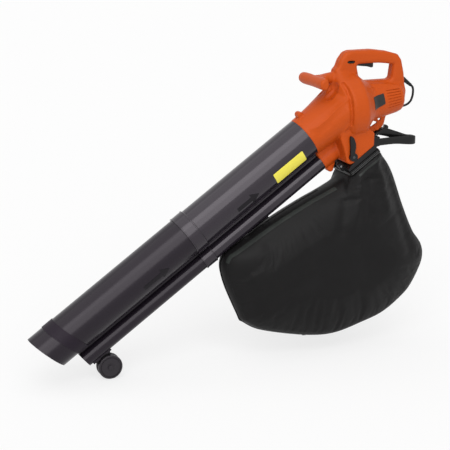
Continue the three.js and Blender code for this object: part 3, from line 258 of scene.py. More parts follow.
lead_curve = bpy.data.curves.new("mains_lead", "CURVE")
lead_curve.dimensions = "3D"
lead_curve.bevel_depth = LEAD_DIAMETER / 2
lead_curve.bevel_resolution = 6
lead_curve.resolution_u = 12
lead_line = lead_curve.splines.new("BEZIER")
lead_line.bezier_points.add(len(LEAD_ROUTE) - 1)
for knot, point in zip(lead_line.bezier_points, LEAD_ROUTE):
    knot.co = point
    knot.handle_left_type = knot.handle_right_type = "AUTO"
lead = bpy.data.objects.new("mains_lead", lead_curve)
scene.collection.objects.link(lead)
lead_curve.materials.append(LEAD_RUBBER)
settle(lead, "machine", "cord", "cord")
WELD = 2e-5


def merged(node, name):
    """A copy of a CAD node's solid with its corners joined, as a new object."""
    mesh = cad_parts[node].data.copy()
    mesh.materials.clear()
    body = bmesh.new()
    body.from_mesh(mesh)
    bmesh.ops.remove_doubles(body, verts=body.verts, dist=WELD)
    body.to_mesh(mesh)
    body.free()
    if mesh.has_custom_normals:
        mesh.attributes.remove(mesh.attributes["custom_normal"])
    return object_from(mesh, name)


def applied(piece):
    """The piece with its modifiers turned into plain mesh."""
    graph = bpy.context.evaluated_depsgraph_get()
    mesh = bpy.data.meshes.new_from_object(piece.evaluated_get(graph))
    piece.modifiers.clear()
    piece.data = mesh
    return piece


def rounded(piece, width, angle=38.0):
    """Small radii on the edges, and smooth shading over what is left."""
    if width > 0:
        bevel = piece.modifiers.new("radii", "BEVEL")
        bevel.width = width
        bevel.segments = 2
        bevel.limit_method = "ANGLE"
        bevel.angle_limit = math.radians(angle)
        bevel.harden_normals = False
        applied(piece)
    piece.data.shade_smooth()
    piece.data.set_sharp_from_angle(angle=math.radians(angle))
    return piece


def skinned(node, made, body, width):
    """The usual skin of a small moulded or turned piece: its own solid with its edges eased."""
    piece = rounded(merged(node, f"{node}_skin"), width)
    piece.data.materials.clear()
    piece.data.materials.append(made)
    return settle(piece, body, node, node)


def turned(profile, sides, matrix, name, made=None):
    """A closed body of revolution: [along X, radius] pairs turned about the matrix's X axis."""
    body = bmesh.new()
    rings = []
    for along, radius in profile:
        if radius < 1e-7:
            rings.append([body.verts.new((along, 0, 0))])
            continue
        turns = [2 * math.pi * i / sides for i in range(sides)]
        rings.append([
            body.verts.new((along, radius * math.cos(a), radius * math.sin(a))) for a in turns
        ])
    closed = len(rings[0]) > 1
    pairs = list(zip(rings, rings[1:])) + ([(rings[-1], rings[0])] if closed else [])
    for one, other in pairs:
        for i in range(sides):
            j = (i + 1) % sides
            corners = [one[i % len(one)], one[j % len(one)],
                       other[j % len(other)], other[i % len(other)]]
            body.faces.new(list(dict.fromkeys(corners)))
    return built(body, name, matrix, made)


def tilted(x, z, degrees):
    """The frame of a piece that leans in the XZ plane."""
    return Matrix.Translation((x, 0, z)) @ Matrix.Rotation(-math.radians(degrees), 4, "Y")


# strain relief: a tapered sleeve with cut rings, so that it bends in a long curve
SLEEVE = tilted(0.104, -0.0653, -37.5)
SLEEVE_TIP = 0.040
sleeve_profile = [(-0.011, 0.0), (-0.011, 0.0065), (0.009, 0.0065)]
for ring in range(6):
    start = 0.011 + 0.0045 * ring
    radius = 0.0064 - 0.0021 * (start - 0.009) / (SLEEVE_TIP - 0.009)
    sleeve_profile += [
        (start, radius), (start + 0.0002, radius - 0.0011), (start + 0.0012, radius - 0.0011),
        (start + 0.0014, radius),
    ]
sleeve_profile += [(SLEEVE_TIP - 0.0006, 0.0044), (SLEEVE_TIP, 0.0038), (SLEEVE_TIP, 0.0)]
sleeve = rounded(turned(sleeve_profile, 40, SLEEVE, "lead_sleeve", LEAD_RUBBER), 0, 50)
settle(sleeve, "machine", "cord_sleeve", "cord_sleeve")

# plug: a round two-pin plug with a ribbed neck, moulded on to the lead
PLUG_TOP = Vector(LEAD_ROUTE[-1]) - Vector((0, 0, 0.0003))
plug_frame = Matrix.Translation(PLUG_TOP) @ Matrix.Rotation(math.radians(90), 4, "Y")
plug_profile = [(0, 0), (0, 0.0044)]
for ring in range(4):
    start = 0.002 + 0.003 * ring
    radius = 0.005 + 0.0005 * ring
    plug_profile += [(start, radius), (start + 0.0015, radius), (start + 0.0018, radius - 0.0008)]
plug_profile += [
    (0.0145, 0.0072), (0.018, 0.0098), (0.0215, 0.0132), (0.026, 0.0154), (0.031, 0.0166),
    (0.036, 0.017), (0.0425, 0.017), (0.0436, 0.0166), (0.044, 0.0156), (0.044, 0),
]
plug = rounded(turned(plug_profile, 56, plug_frame, "lead_plug", LEAD_RUBBER), 0, 50)
settle(plug, "machine", "plug_body", "plug_body")
PIN_METAL = moulded("pin_nickel", (0.62, 0.60, 0.56), 0.22, metallic=1.0, grain=3000, depth=0.1)
for side in ("left", "right"):
    skinned(f"plug_pin_{side}", PIN_METAL, "machine", 0.0006)

# ---------------------------------------------------------------------------------------------
# Floor and studio light
# A pale floor under the roller. Three soft sources, one in front, one overhead and a wide weak
# fill, stand in white surroundings that are seen at full strength and light things with less.

FLOOR_GAP = 0.0015
FLOOR_GLOW = 0.69
floor_z = cad_box[0][2] - FLOOR_GAP
floor_mesh = bpy.data.meshes.new("floor")
reach = 40.0
floor_mesh.from_pydata(
    [(-reach, -reach, floor_z), (reach, -reach, floor_z), (reach, reach, floor_z),
     (-reach, reach, floor_z)], [], [(0, 1, 2, 3)])
floor_paint, floor_tree, floor_shader = new_material("floor_paint", (0.92, 0.92, 0.92), 0.9, shine=0.0)


def seen_directly(tree):
    """1 for what the camera, a reflection or a clear part shows, and 0 for scattered light."""
    path = tree.nodes.new("ShaderNodeLightPath")
    mirrored = calculate(tree, "MAXIMUM", path.outputs["Is Glossy Ray"],
                         path.outputs["Is Transmission Ray"])
    return calculate(tree, "MAXIMUM", path.outputs["Is Camera Ray"], mirrored)


seen = seen_directly(floor_tree)
glow = floor_tree.nodes.new("ShaderNodeEmission")
glow.inputs["Strength"].default_value = 1.0
share = calculate(floor_tree, "MULTIPLY", seen, FLOOR_GLOW)
floor_mix = floor_tree.nodes.new("ShaderNodeMixShader")
floor_out = floor_tree.nodes["Material Output"]
floor_tree.links.new(share, floor_mix.inputs[0])
floor_tree.links.new(floor_shader.outputs["BSDF"], floor_mix.inputs[1])
floor_tree.links.new(glow.outputs["Emission"], floor_mix.inputs[2])
floor_tree.links.new(floor_mix.outputs["Shader"], floor_out.inputs["Surface"])
object_from(floor_mesh, "floor", floor_paint)

world = bpy.data.worlds.new("studio")
scene.world = world
world.use_nodes = True
sky_tree = world.node_tree
sky = sky_tree.nodes["Background"]
sky.inputs["Color"].default_value = (1, 1, 1, 1)
AMBIENT = 0.42
sky_seen = calculate(sky_tree, "MULTIPLY_ADD", seen_directly(sky_tree), 1 - AMBIENT, AMBIENT)
sky_tree.links.new(sky_seen, sky.inputs["Strength"])


def soft_source(name, direction, spread, energy):
    """A distant round softbox that fills the given angle."""
    data = bpy.data.lights.new(name, "SUN")
    data.angle = math.radians(spread)
    data.energy = energy
    lamp = bpy.data.objects.new(name, data)
    scene.collection.objects.link(lamp)
    lamp.rotation_euler = Vector(direction).to_track_quat("Z", "Y").to_euler()


soft_source("front_softbox", (-0.27, -0.76, 0.59), 56, 1.55)
soft_source("overhead", (-0.30, -0.10, 0.95), 80, 0.85)
soft_source("front_fill", (-0.45, -0.80, 0.40), 130, 0.35)

# ---------------------------------------------------------------------------------------------
# Housing shells
# Two mirror halves of orange ABS, moulded with soft radii where the grip, intake, fan drum and
# exhaust box run into each other. They meet on the middle plane and are screwed together.

ORANGE = (0.495, 0.071, 0.0062)
SHELL_ABS = moulded("shell_abs", ORANGE, 0.44, grain=2200, depth=0.55, sink=0.5, rub=0.10,
                    spread=0.05, distance=0.00022, shine=0.15)
TUBE_FRAME = tilted(-0.098, -0.1448, 35)
FAN_FRAME = tilted(-0.101, -0.140, 7)
SHELL_VOXEL = 0.00115
SEAM_BAND = 0.0016
# the eyelet, the screw and the three-cornered eye of the strap ear: [X, Z, reach]
EAR_HOLES = [(0.034, -0.180, 0.008), (0.027, -0.205, 0.013), (0.013, -0.191, 0.018)]


def numbers_of(mesh, attribute, width, kind=float):
    """A mesh attribute as rows of numbers."""
    collection, field = attribute
    rows = getattr(mesh, collection)
    flat = np.zeros(len(rows) * width, kind)
    rows.foreach_get(field, flat)
    return flat.reshape(-1, width)


def points_of(mesh):
    """The corners of a mesh, as rows of X, Y and Z."""
    return numbers_of(mesh, ("vertices", "co"), 3)


def put_points(mesh, points):
    mesh.vertices.foreach_set("co", points.ravel())
    mesh.update()


def smooth_blends(mesh, rounds, weight):
    """Eases every corner of the mesh. weight is 0 to 1 for each point: 0 keeps it crisp."""
    points = points_of(mesh)
    count = len(points)
    a, b = numbers_of(mesh, ("edges", "vertices"), 2, int).T
    degree = np.bincount(np.concatenate([a, b]), minlength=count)[:, None]
    share = (0.5 * weight(points))[:, None]
    for _ in range(rounds):
        total = np.stack([
            np.bincount(a, points[b, k], count) + np.bincount(b, points[a, k], count)
            for k in range(3)
        ], axis=1)
        points += share * (total / degree - points)
    put_points(mesh, points)


def remeshed(piece, voxel):
    """The piece rebuilt in even four-sided faces."""
    remesh = piece.modifiers.new("even", "REMESH")
    remesh.mode = "VOXEL"
    remesh.voxel_size = voxel
    return applied(piece)


def thinned(piece, most):
    """Brings a mesh of four-sided faces under a number of triangles."""
    triangles = 2 * len(piece.data.polygons)
    if triangles > most:
        thin = piece.modifiers.new("thin", "DECIMATE")
        thin.ratio = most / triangles
        applied(piece)
    return piece


def frame_part(points, matrix):
    """Points in the axes of a leaning frame."""
    turn = np.array(matrix.inverted())
    return points @ turn[:3, :3].T + turn[:3, 3]


def joined_mesh(piece, other):
    """Puts another body's faces into the piece's mesh, and removes the other object."""
    body = bmesh.new()
    body.from_mesh(piece.data)
    body.from_mesh(other.data)
    body.to_mesh(piece.data)
    body.free()
    bpy.data.objects.remove(other)
    return piece


def combined(piece, tool, operation):
    """Cuts or joins two closed bodies, and removes the tool."""
    step = piece.modifiers.new("step", "BOOLEAN")
    step.operation = operation
    step.solver = "MANIFOLD"
    step.object = tool
    applied(piece)
    bpy.data.objects.remove(tool)
    return piece


def finished(piece, made, angle=38.0):
    """Smooth shading up to an angle, and the one material."""
    piece.data.shade_smooth()
    piece.data.set_sharp_from_angle(angle=math.radians(angle))
    piece.data.materials.clear()
    piece.data.materials.append(made)
    return piece


def box(low, high, matrix, name="box"):
    """A closed block between two corners of a frame."""
    body = bmesh.new()
    bmesh.ops.create_cube(body, size=1)
    low, high = Vector(low), Vector(high)
    size = high - low
    place = matrix @ Matrix.Translation((low + high) / 2) @ Matrix.Diagonal((*size, 1))
    return built(body, name, place)


LOUVRE_FRONT, LOUVRE_REAR = 0.138, 0.184
LOUVRE_ANGLES = [math.radians(-21 + 9.5 * row) for row in range(7)]
SLOT_HALF, SLOT_NEAR, SLOT_FAR = 0.00125, 0.034, 0.062
# the corners of a slat: [degrees from the middle of its slot, depth under the wall's surface]
SLAT_SECTION = [(-2.6, 0.0004), (2.6, 0.0022), (2.6, 0.0034), (-2.6, 0.0016)]
MOTOR_WALL = [(0.106, 0.055), (0.179, 0.047), (0.193, 0.043)]


def motor_radius(along):
    ends, radii = zip(*MOTOR_WALL)
    return np.interp(along, ends, radii)


def vent_patch(side):
    """A piece of plain motor wall that closes the vents, before they are cut again to shape."""
    alongs = np.linspace(0.132, 0.1925, 22)
    turns = np.radians(np.linspace(-32, 46, 24))
    body = bmesh.new()
    layers = []
    for wall in (0.0, 0.003):
        layers.append([[
            body.verts.new((a, side * (motor_radius(a) - wall) * math.cos(t),
                            (motor_radius(a) - wall) * math.sin(t)))
            for t in turns] for a in alongs])
    outer, inner = layers
    last = len(alongs) - 1
    for i in range(last):
        for j in range(last):
            for sheet, step in ((outer, 1), (inner, -1)):
                corners = [sheet[i][j], sheet[i + 1][j], sheet[i + 1][j + 1], sheet[i][j + 1]]
                body.faces.new(corners[::step])
    rim = [(i, 0) for i in range(last)] + [(last, j) for j in range(last)]
    rim += [(i, last) for i in range(last, 0, -1)] + [(0, j) for j in range(last, 0, -1)]
    for (i, j), (k, m) in zip(rim, rim[1:] + rim[:1]):
        body.faces.new((outer[k][m], outer[i][j], inner[i][j], inner[k][m]))
    return built(body, "vent_patch", FAN_FRAME)


def shell_weight(points):
    """Full easing on the open surfaces, little at the seam and round the ear's holes."""
    weight = np.ones(len(points))
    weight[abs(points[:, 1]) < SEAM_BAND] = 0.05
    for x, z, size in EAR_HOLES:
        weight[np.hypot(points[:, 0] - x, points[:, 2] - z) < size] = 0.12
    return weight


def distance_to(points, path):
    """How far points of the XZ plane lie from a line of straight stretches."""
    best = np.full(len(points), 1e9)
    for start, end in zip(path, path[1:]):
        start, end = np.array(start), np.array(end)
        run = end - start
        share = np.clip((points - start) @ run / (run @ run), 0, 1)
        best = np.minimum(best, np.linalg.norm(points - start - share[:, None] * run, axis=1))
    return best


# lines in the left side of the shell, mirrored on the right one:
# [points on its surface, direction outwards, width, height, how square the section is]
FLARE_RIDGE = [(-0.206, 0.0535, -0.186), (-0.187, 0.0572, -0.1786), (-0.1624, 0.0623, -0.1583),
               (-0.1379, 0.068, -0.1323), (-0.1134, 0.0735, -0.1105), (-0.104, 0.0766, -0.1037)]
FLARE_HOLLOW = [(x + 0.004, y + 0.001, z - 0.016) for x, y, z in FLARE_RIDGE[1:]]
DRUM_GROOVE = [(-0.1095, 0.0513, -0.0637), (-0.1037, 0.0651, -0.0788), (-0.1006, 0.0783, -0.0966),
               (-0.0985, 0.085, -0.1178), (-0.0975, 0.0865, -0.1459), (-0.096, 0.0815, -0.1756)]
STEM_POCKET = [(-0.1235, 0.030, -0.074), (-0.142, 0.031, -0.099)]
BOX_RIDGE = [(-0.0984, 0.0779, -0.1728), (-0.106, 0.069, -0.1881), (-0.1119, 0.063, -0.2029)]
STYLE_LINES = [
    (FLARE_RIDGE, (-0.45, 0.80, 0.40), 0.0048, 0.0032, 1.2),
    (FLARE_HOLLOW, (-0.50, 0.81, 0.30), 0.0100, -0.0028, 2.0),
    (DRUM_GROOVE, (-0.55, 0.80, 0.20), 0.0058, -0.0062, 2.6),
    (STEM_POCKET, (-0.72, 0.45, 0.52), 0.0120, -0.0080, 4.0),
    (BOX_RIDGE, (-0.10, 0.90, -0.40), 0.0036, 0.0024, 1.3),
]


def styled(mesh):
    """Draws the wall in and out along the style lines, the inner face with the outer one."""
    points = points_of(mesh)
    side = np.where(points[:, 1] < 0, -1.0, 1.0)
    moved = points.copy()
    for path, outwards, width, height, square in STYLE_LINES:
        near = np.exp(-(distance_to(points * [1, 0, 1] + np.outer(abs(points[:, 1]), [0, 1, 0]), path)
                        / width) ** square)
        push = np.outer(near * height, outwards)
        push[:, 1] *= side
        moved += push
    put_points(mesh, moved)


def louvre_blade(side, angle):
    """A slat that closes one slot from inside: flush at its lower edge, set in at its upper one."""
    body = bmesh.new()
    ends = []
    for along in (LOUVRE_FRONT - 0.002, LOUVRE_REAR + 0.002):
        wall = motor_radius(along)
        ring = []
        for turn, depth in SLAT_SECTION:
            reach, height = wall - depth, angle + math.radians(turn)
            ring.append(body.verts.new((along, side * reach * math.cos(height),
                                        reach * math.sin(height))))
        ends.append(ring)
    bridged(body, ends, capped=True)
    return built(body, "blade", FAN_FRAME)


def vents_cut(shell, side):
    """Slots that run along the motor end, each backed by a slanting blade of the same plastic."""
    for angle in LOUVRE_ANGLES:
        turn = FAN_FRAME @ Matrix.Rotation(side * angle, 4, "X")
        low, high = sorted((side * SLOT_NEAR, side * SLOT_FAR))
        cutter = box((LOUVRE_FRONT, low, -SLOT_HALF), (LOUVRE_REAR, high, SLOT_HALF), turn, "vent")
        combined(shell, cutter, "DIFFERENCE")
    for angle in LOUVRE_ANGLES:
        joined_mesh(shell, louvre_blade(side, angle))
    return shell


for name, side in (("left", -1), ("right", 1)):
    shell = joined_mesh(merged(f"housing_shell_{name}", f"shell_{name}"), vent_patch(side))
    remeshed(shell, SHELL_VOXEL)
    smooth_blends(shell.data, 26, shell_weight)
    styled(shell.data)
    thinned(shell, 180000)
    finished(vents_cut(shell, side), SHELL_ABS, 42)
    settle(shell, "machine", f"housing_shell_{name}", f"housing_shell_{name}")

# ---------------------------------------------------------------------------------------------
# Housing screws
# Six zinc-plated screws pull the right half on to the left one, each in its own well.

SCREW_STEEL = moulded("screw_zinc", (0.32, 0.32, 0.33), 0.35, metallic=1.0, grain=4000, depth=0.2)
for number in range(1, 7):
    skinned(f"housing_screw_{number}", SCREW_STEEL, "machine", 0.0002)

# ---------------------------------------------------------------------------------------------
# Front handle bar
# A bar of the same ABS across the stem, screwed on a steel stud, for the second hand.

BAR_AXIS, BAR_BACK, BAR_FREE, BAR_END = -0.173, -0.1645, 0.040, 0.070
FLATTENED, FLAT_RUN = 0.42, 0.014


def bar_weight(points):
    """Full easing on the bar, less on its back and at its ends, which stay crisp."""
    weight = np.ones(len(points))
    weight[points[:, 0] > BAR_BACK] = 0.25
    weight[abs(points[:, 1]) > BAR_END] = 0.22
    return weight


def flat_back(mesh):
    """Outside the stem the bar is a D: round to the front and flattened behind."""
    points = points_of(mesh)
    behind = points[:, 0] - BAR_AXIS
    free = np.clip((abs(points[:, 1]) - BAR_FREE) / FLAT_RUN, 0, 1)
    points[:, 0] -= np.where(behind > 0, FLATTENED * behind * free, 0)
    put_points(mesh, points)


bar = remeshed(merged("front_handle_bar", "handle_bar"), 0.0011)
flat_back(bar.data)
smooth_blends(bar.data, 16, bar_weight)
thinned(bar, 60000)
finished(bar, SHELL_ABS, 60)
settle(bar, "machine", "front_handle_bar", "front_handle_bar")
dress(SCREW_STEEL, "front_handle_bolt")

# ---------------------------------------------------------------------------------------------
# Trigger, switch and speed dial
# The trigger is a black moulding on a steel pin under the grip, the dial a notched wheel that
# shows through a window in the grip's left side.

BLACK_ABS = moulded("black_abs", (0.0085, 0.0080, 0.0088), 0.36, grain=2400, depth=0.5, shine=0.25)
skinned("trigger", BLACK_ABS, "trigger", 0.0008)
skinned("speed_dial", BLACK_ABS, "dial", 0.0002)
skinned("trigger_pin", SCREW_STEEL, "machine", 0.0002)
dress(SCREW_STEEL, "trigger_spring")
dress(BLACK_ABS, "switch_module")
dress(moulded("board_lacquer", (0.015, 0.10, 0.035), 0.35, coat=0.4), "dial_board")

# ---------------------------------------------------------------------------------------------
# Fan and motor
# A universal motor behind a six-bladed impeller. It is closed in, so only its finishes are
# given here: moulded nylon, stacked steel, lacquered copper and carbon.

NYLON = moulded("fan_nylon", (0.02, 0.02, 0.022), 0.5)
IRON = moulded("motor_steel", (0.16, 0.16, 0.17), 0.45, metallic=1.0, grain=1800, depth=0.6)
COPPER = moulded("winding_copper", (0.50, 0.18, 0.07), 0.35, metallic=1.0, grain=900, depth=1.0)
dress(NYLON, "fan_back_plate", "impeller", "motor_rear_bracket")
dress(SCREW_STEEL, "impeller_nut", "motor_shaft", "bearing_front", "bearing_rear")
dress(IRON, "armature", "stator")
dress(COPPER, "commutator", "field_coil_front", "field_coil_rear")
dress(moulded("brush_carbon", (0.03, 0.03, 0.032), 0.7), "brush_left", "brush_right")

# ---------------------------------------------------------------------------------------------
# Tubes
# Two lengths of smoke-grey polystyrene: a wide suction tube and a narrow blow tube moulded as
# one. The upper length ends in a socket, the lower in a slanted mouth with a matt band round
# it. Arrows are moulded on.

TUBE_STYRENE = moulded("tube_styrene", (0.0150, 0.0115, 0.0168), 0.16, grain=700, depth=0.06,
                       sink=1.0, rub=0.06, distance=0.00018, shine=0.46)
# the lower length: the same plastic with a darker colour, rougher and less shiny
LOWER_STYRENE = moulded("lower_styrene", (0.0116, 0.0086, 0.0130), 0.22, grain=700, depth=0.10,
                          sink=1.0, rub=0.12, distance=0.0002, shine=0.26)
LIP_STYRENE = moulded("lip_styrene", (0.0150, 0.0108, 0.0170), 0.50, grain=900, depth=0.3, shine=0.14)
for styrene in (TUBE_STYRENE, LOWER_STYRENE, LIP_STYRENE):
    gloss = styrene.node_tree.nodes["Principled BSDF"]
    gloss.inputs["Specular Tint"].default_value = (1.0, 0.94, 1.0, 1)
ARROW_STYRENE = moulded("arrow_styrene", (0.008, 0.0065, 0.009), 0.5, grain=1800, depth=0.8, shine=0.2)
SUCTION_R, BLOW_R = 0.059, 0.023
DUCT_SPACING = 0.091
RIB_HALF, RIB_ROOT = 0.004, 0.005
WALL = 0.0024
SOCKET_WALL, SOCKET_FIT = 0.0026, 0.0004
RIM, JOINT, BAND_START = -0.1283, -0.534, -0.570
MOUTH, MOUTH_SLANT = -1.062, 16
BLOW_END, BLOW_SLANT = -0.996, 7
FLOOR = DUCT_SPACING + BLOW_R + 0.003


def round_bar(start, end, radius, drop=0.0, ease=0.0):
    """A closed cylinder along the tube, lowered by drop, with eased end corners."""
    profile = [
        (start, 0), (start, radius - ease), (start + ease, radius), (end - ease, radius),
        (end, radius - ease), (end, 0),
    ]
    if ease == 0:
        profile = [(start, 0), (start, radius), (end, radius), (end, 0)]
    return turned(profile, 128, TUBE_FRAME @ Matrix.Translation((0, 0, -drop)), "tube_bar")


BLOCK_HALF = 0.5


def across(start, end, lean, drop=0.0):
    """A block that spans the tube between two slanting planes."""
    place = TUBE_FRAME @ Matrix.Translation((start, 0, -drop))
    turn = place @ Matrix.Rotation(-math.radians(lean), 4, "Y")
    length = (end - start) * math.cos(math.radians(lean))
    return box((0, -BLOCK_HALF, -BLOCK_HALF), (length, BLOCK_HALF, BLOCK_HALF), turn)


def duct_rib(start, end, grow=0.0):
    """The rib that holds the blow tube under the suction tube."""
    half = RIB_HALF + grow
    return box((start, -half, BLOW_R - RIB_ROOT - DUCT_SPACING), (end, half, RIB_ROOT - SUCTION_R),
               TUBE_FRAME)


def twin(start, end, grow=0.0, ease=0.0):
    suction = combined(round_bar(start, end, SUCTION_R + grow, 0.0, ease),
                       duct_rib(start, end, grow), "UNION")
    return combined(suction, round_bar(start, end, BLOW_R + grow, DUCT_SPACING, ease), "UNION")


def bored(tube, start, end):
    """Opens both ducts."""
    combined(tube, round_bar(start, end, BLOW_R - WALL, DUCT_SPACING), "DIFFERENCE")
    return combined(tube, round_bar(start, end, SUCTION_R - WALL), "DIFFERENCE")


HANGER_S = -0.352
LOW = DUCT_SPACING + BLOW_R
upper = twin(JOINT, RIM)
combined(upper, twin(BAND_START, JOINT + 0.002, SOCKET_WALL + SOCKET_FIT, 0.0007), "UNION")
for start, end in ((BAND_START, BAND_START + 0.0034), (JOINT - 0.0022, JOINT + 0.0012)):
    combined(upper, twin(start, end, SOCKET_WALL + SOCKET_FIT + 0.0010, 0.0006), "UNION")
# the stud that the bag's tie hooks over, its neck and then its head
for half, bottom, top in ((0.003, -0.005, 0.0015), (0.0055, -0.0065, -0.004)):
    lug = box((HANGER_S - half, -0.003, bottom - LOW), (HANGER_S + half, 0.003, top - LOW), TUBE_FRAME)
    combined(upper, lug, "UNION")
bored(upper, JOINT - 0.001, RIM + 0.001)
combined(upper, twin(BAND_START - 0.001, JOINT - 0.0003, SOCKET_FIT), "DIFFERENCE")
finished(upper, TUBE_STYRENE, 30)
settle(upper, "machine", "tube_upper", "tube_upper")

LOWER_TOP = JOINT - 0.0006
COLLAR_NEAR, COLLAR_FAR, COLLAR_PROUD = MOUTH + 0.051, MOUTH + 0.085, 0.0016
BAND_LAP, BAND_PROUD, BAND_SUNK = 0.0005, 0.0019, 0.0004
collar = round_bar(MOUTH - 0.05, MOUTH + 0.17, SUCTION_R + COLLAR_PROUD)
combined(collar, across(COLLAR_NEAR, COLLAR_FAR, MOUTH_SLANT), "INTERSECT")
lower = combined(round_bar(MOUTH - 0.06, LOWER_TOP, SUCTION_R), collar, "UNION")
combined(lower, across(MOUTH, MOUTH + 0.9, MOUTH_SLANT), "INTERSECT")
narrow_tube = round_bar(BLOW_END - 0.04, LOWER_TOP, BLOW_R, DUCT_SPACING)
combined(narrow_tube, across(BLOW_END, BLOW_END + 0.9, BLOW_SLANT, DUCT_SPACING), "INTERSECT")
combined(lower, duct_rib(BLOW_END + 0.006, LOWER_TOP), "UNION")
combined(lower, narrow_tube, "UNION")
ROLLER_S = -0.953
combined(lower, box((ROLLER_S - 0.030, -0.011, -FLOOR), (ROLLER_S + 0.032, 0.011, 0.014 - FLOOR),
                    TUBE_FRAME), "UNION")
bored(lower, MOUTH - 0.12, LOWER_TOP + 0.001)
combined(lower, box((ROLLER_S - 0.006, -0.012, -FLOOR - 0.001),
                    (ROLLER_S + 0.014, 0.012, 0.0026 - FLOOR), TUBE_FRAME), "DIFFERENCE")
finished(lower, LOWER_STYRENE, 30)
settle(lower, "machine", "tube_lower", "tube_lower")

# a matt band laid over the collar
lip_band = combined(round_bar(MOUTH, MOUTH + 0.17, SUCTION_R + BAND_PROUD),
                    across(COLLAR_NEAR - BAND_LAP, COLLAR_FAR + BAND_LAP, MOUTH_SLANT), "INTERSECT")
combined(lip_band, round_bar(MOUTH - 0.01, MOUTH + 0.18, SUCTION_R + BAND_SUNK), "DIFFERENCE")
finished(lip_band, LIP_STYRENE, 30)
settle(lip_band, "machine", "tube_lower")


WRAP_STEP = 0.0015


def wrapped(outline, radius, low, high, name, made):
    """A flat shape laid round the suction tube. The outline is in [along, round] lengths."""
    body = bmesh.new()
    body.faces.new([body.verts.new((s, t, 0)) for s, t in outline])
    spread = [t for _, t in outline]
    for t in np.arange(min(spread) + WRAP_STEP, max(spread), WRAP_STEP):
        bmesh.ops.bisect_plane(body, geom=body.verts[:] + body.edges[:] + body.faces[:],
                               plane_co=(0, t, 0), plane_no=(0, 1, 0))
    made_up = bmesh.ops.extrude_face_region(body, geom=body.faces[:])
    raised = [item for item in made_up["geom"] if isinstance(item, bmesh.types.BMVert)]
    for corner in raised:
        corner.co.z = 1
    for corner in body.verts:
        reach = radius + low + corner.co.z * (high - low)
        turn = corner.co.y / radius
        corner.co = (corner.co.x, -reach * math.cos(turn), -reach * math.sin(turn))
    return rounded(built(body, name, TUBE_FRAME, made), 0, 35)


def arrow(start, length, height, name):
    """The airflow mark: a moulded arrow that points to the housing."""
    tip, shaft, head = start + length, 0.0062, 0.0165
    neck = tip - 0.026
    outline = [(start, height - shaft), (neck, height - shaft), (neck, height - head), (tip, height),
               (neck, height + head), (neck, height + shaft), (start, height + shaft)]
    mark = wrapped(outline, SUCTION_R, -0.0004, 0.0008, name, ARROW_STYRENE)
    settle(mark, "machine", "tube_upper")


arrow(-0.413, 0.076, 0.017, "flow_arrow_upper")
arrow(-0.749, 0.088, 0.017, "flow_arrow_lower")

# ---------------------------------------------------------------------------------------------
# Film and plate
# A plain yellow film lies on the upper tube and a plain dark plate on the motor end.


def rounded_corners(low, high, radius, steps=5):
    """The outline of a rectangle with rounded corners."""
    corners = [(high[0], high[1], 0), (low[0], high[1], 90), (low[0], low[1], 180), (high[0], low[1], 270)]
    outline = []
    for x, y, start in corners:
        middle_x = x - radius if x == high[0] else x + radius
        middle_y = y - radius if y == high[1] else y + radius
        for step in range(steps + 1):
            turn = math.radians(start + 90 * step / steps)
            outline.append((middle_x + radius * math.cos(turn), middle_y + radius * math.sin(turn)))
    return outline


YELLOW_FILM = moulded("yellow_film", (0.80, 0.71, 0.085), 0.35, grain=500, depth=0.15, spread=0.04)
film = wrapped(rounded_corners((-0.276, 0.0005), (-0.169, 0.0362), 0.003), SUCTION_R, 0.0003, 0.00075,
               "tube_film_skin", YELLOW_FILM)
settle(film, "machine", "tube_film", "tube_film")
skinned("name_plate", moulded("dark_plate", (0.017, 0.016, 0.015), 0.30, shine=0.3), "machine", 0.0003)

# ---------------------------------------------------------------------------------------------
# Roller
# Two discs of the tube's plastic on an axle, one on each side of a bracket under the blow tube.

ROLLER_PLASTIC = moulded("roller_plastic", (0.020, 0.0165, 0.021), 0.33, grain=1600, shine=0.3)
skinned("wheel_bracket", BLACK_ABS, "machine", 0.0006)
ROLLER_DEPTH = 0.155
ROLLER_R, BORE_R = 0.0345, 0.0043


def roller_disc(side):
    """One disc: a rounded tread, a ring groove near the rim and a low hub round the bore."""
    profile = [
        (0.0052, BORE_R), (0.0052, 0.0322), (0.0060, 0.0338), (0.0076, ROLLER_R), (0.0124, ROLLER_R),
        (0.0141, 0.0338), (0.0150, 0.0322), (0.0150, 0.0294), (0.0143, 0.0289), (0.0131, 0.0287),
        (0.0131, 0.0272), (0.0143, 0.0269), (0.0149, 0.0264), (0.0146, 0.0170), (0.0139, 0.0106),
        (0.0139, 0.0094), (0.0149, 0.0090), (0.0150, 0.0084), (0.0150, BORE_R),
    ]
    middle = TUBE_FRAME @ Matrix.Translation((ROLLER_S, 0, -ROLLER_DEPTH))
    disc = turned(profile, 72, middle @ Matrix.Rotation(math.radians(side * 90), 4, "Z"), "roller_disc")
    return rounded(disc, 0, 35)


for name, side in (("left", -1), ("right", 1)):
    disc = finished(roller_disc(side), ROLLER_PLASTIC, 35)
    disc.name = f"roller_disc_{name}"
    settle(disc, f"roller_{name}", f"wheel_{name}", f"wheel_{name}")
skinned("wheel_axle", ROLLER_PLASTIC, "machine", 0.0005)

# ---------------------------------------------------------------------------------------------
# Changeover flap and lever
# A black lever on the box's left face turns the flap inside between blowing and sucking.

skinned("changeover_lever", BLACK_ABS, "changeover", 0.0006)
BLACK_SCREW = moulded("screw_black", (0.09, 0.09, 0.093), 0.34, metallic=1.0, grain=4000, depth=0.2)
skinned("lever_screw", BLACK_SCREW, "changeover", 0.0002)
dress(BLACK_ABS, "changeover_flap")

# ---------------------------------------------------------------------------------------------
# Bag frame and latch
# A black frame clips under the exhaust box and holds the mouth of the bag.

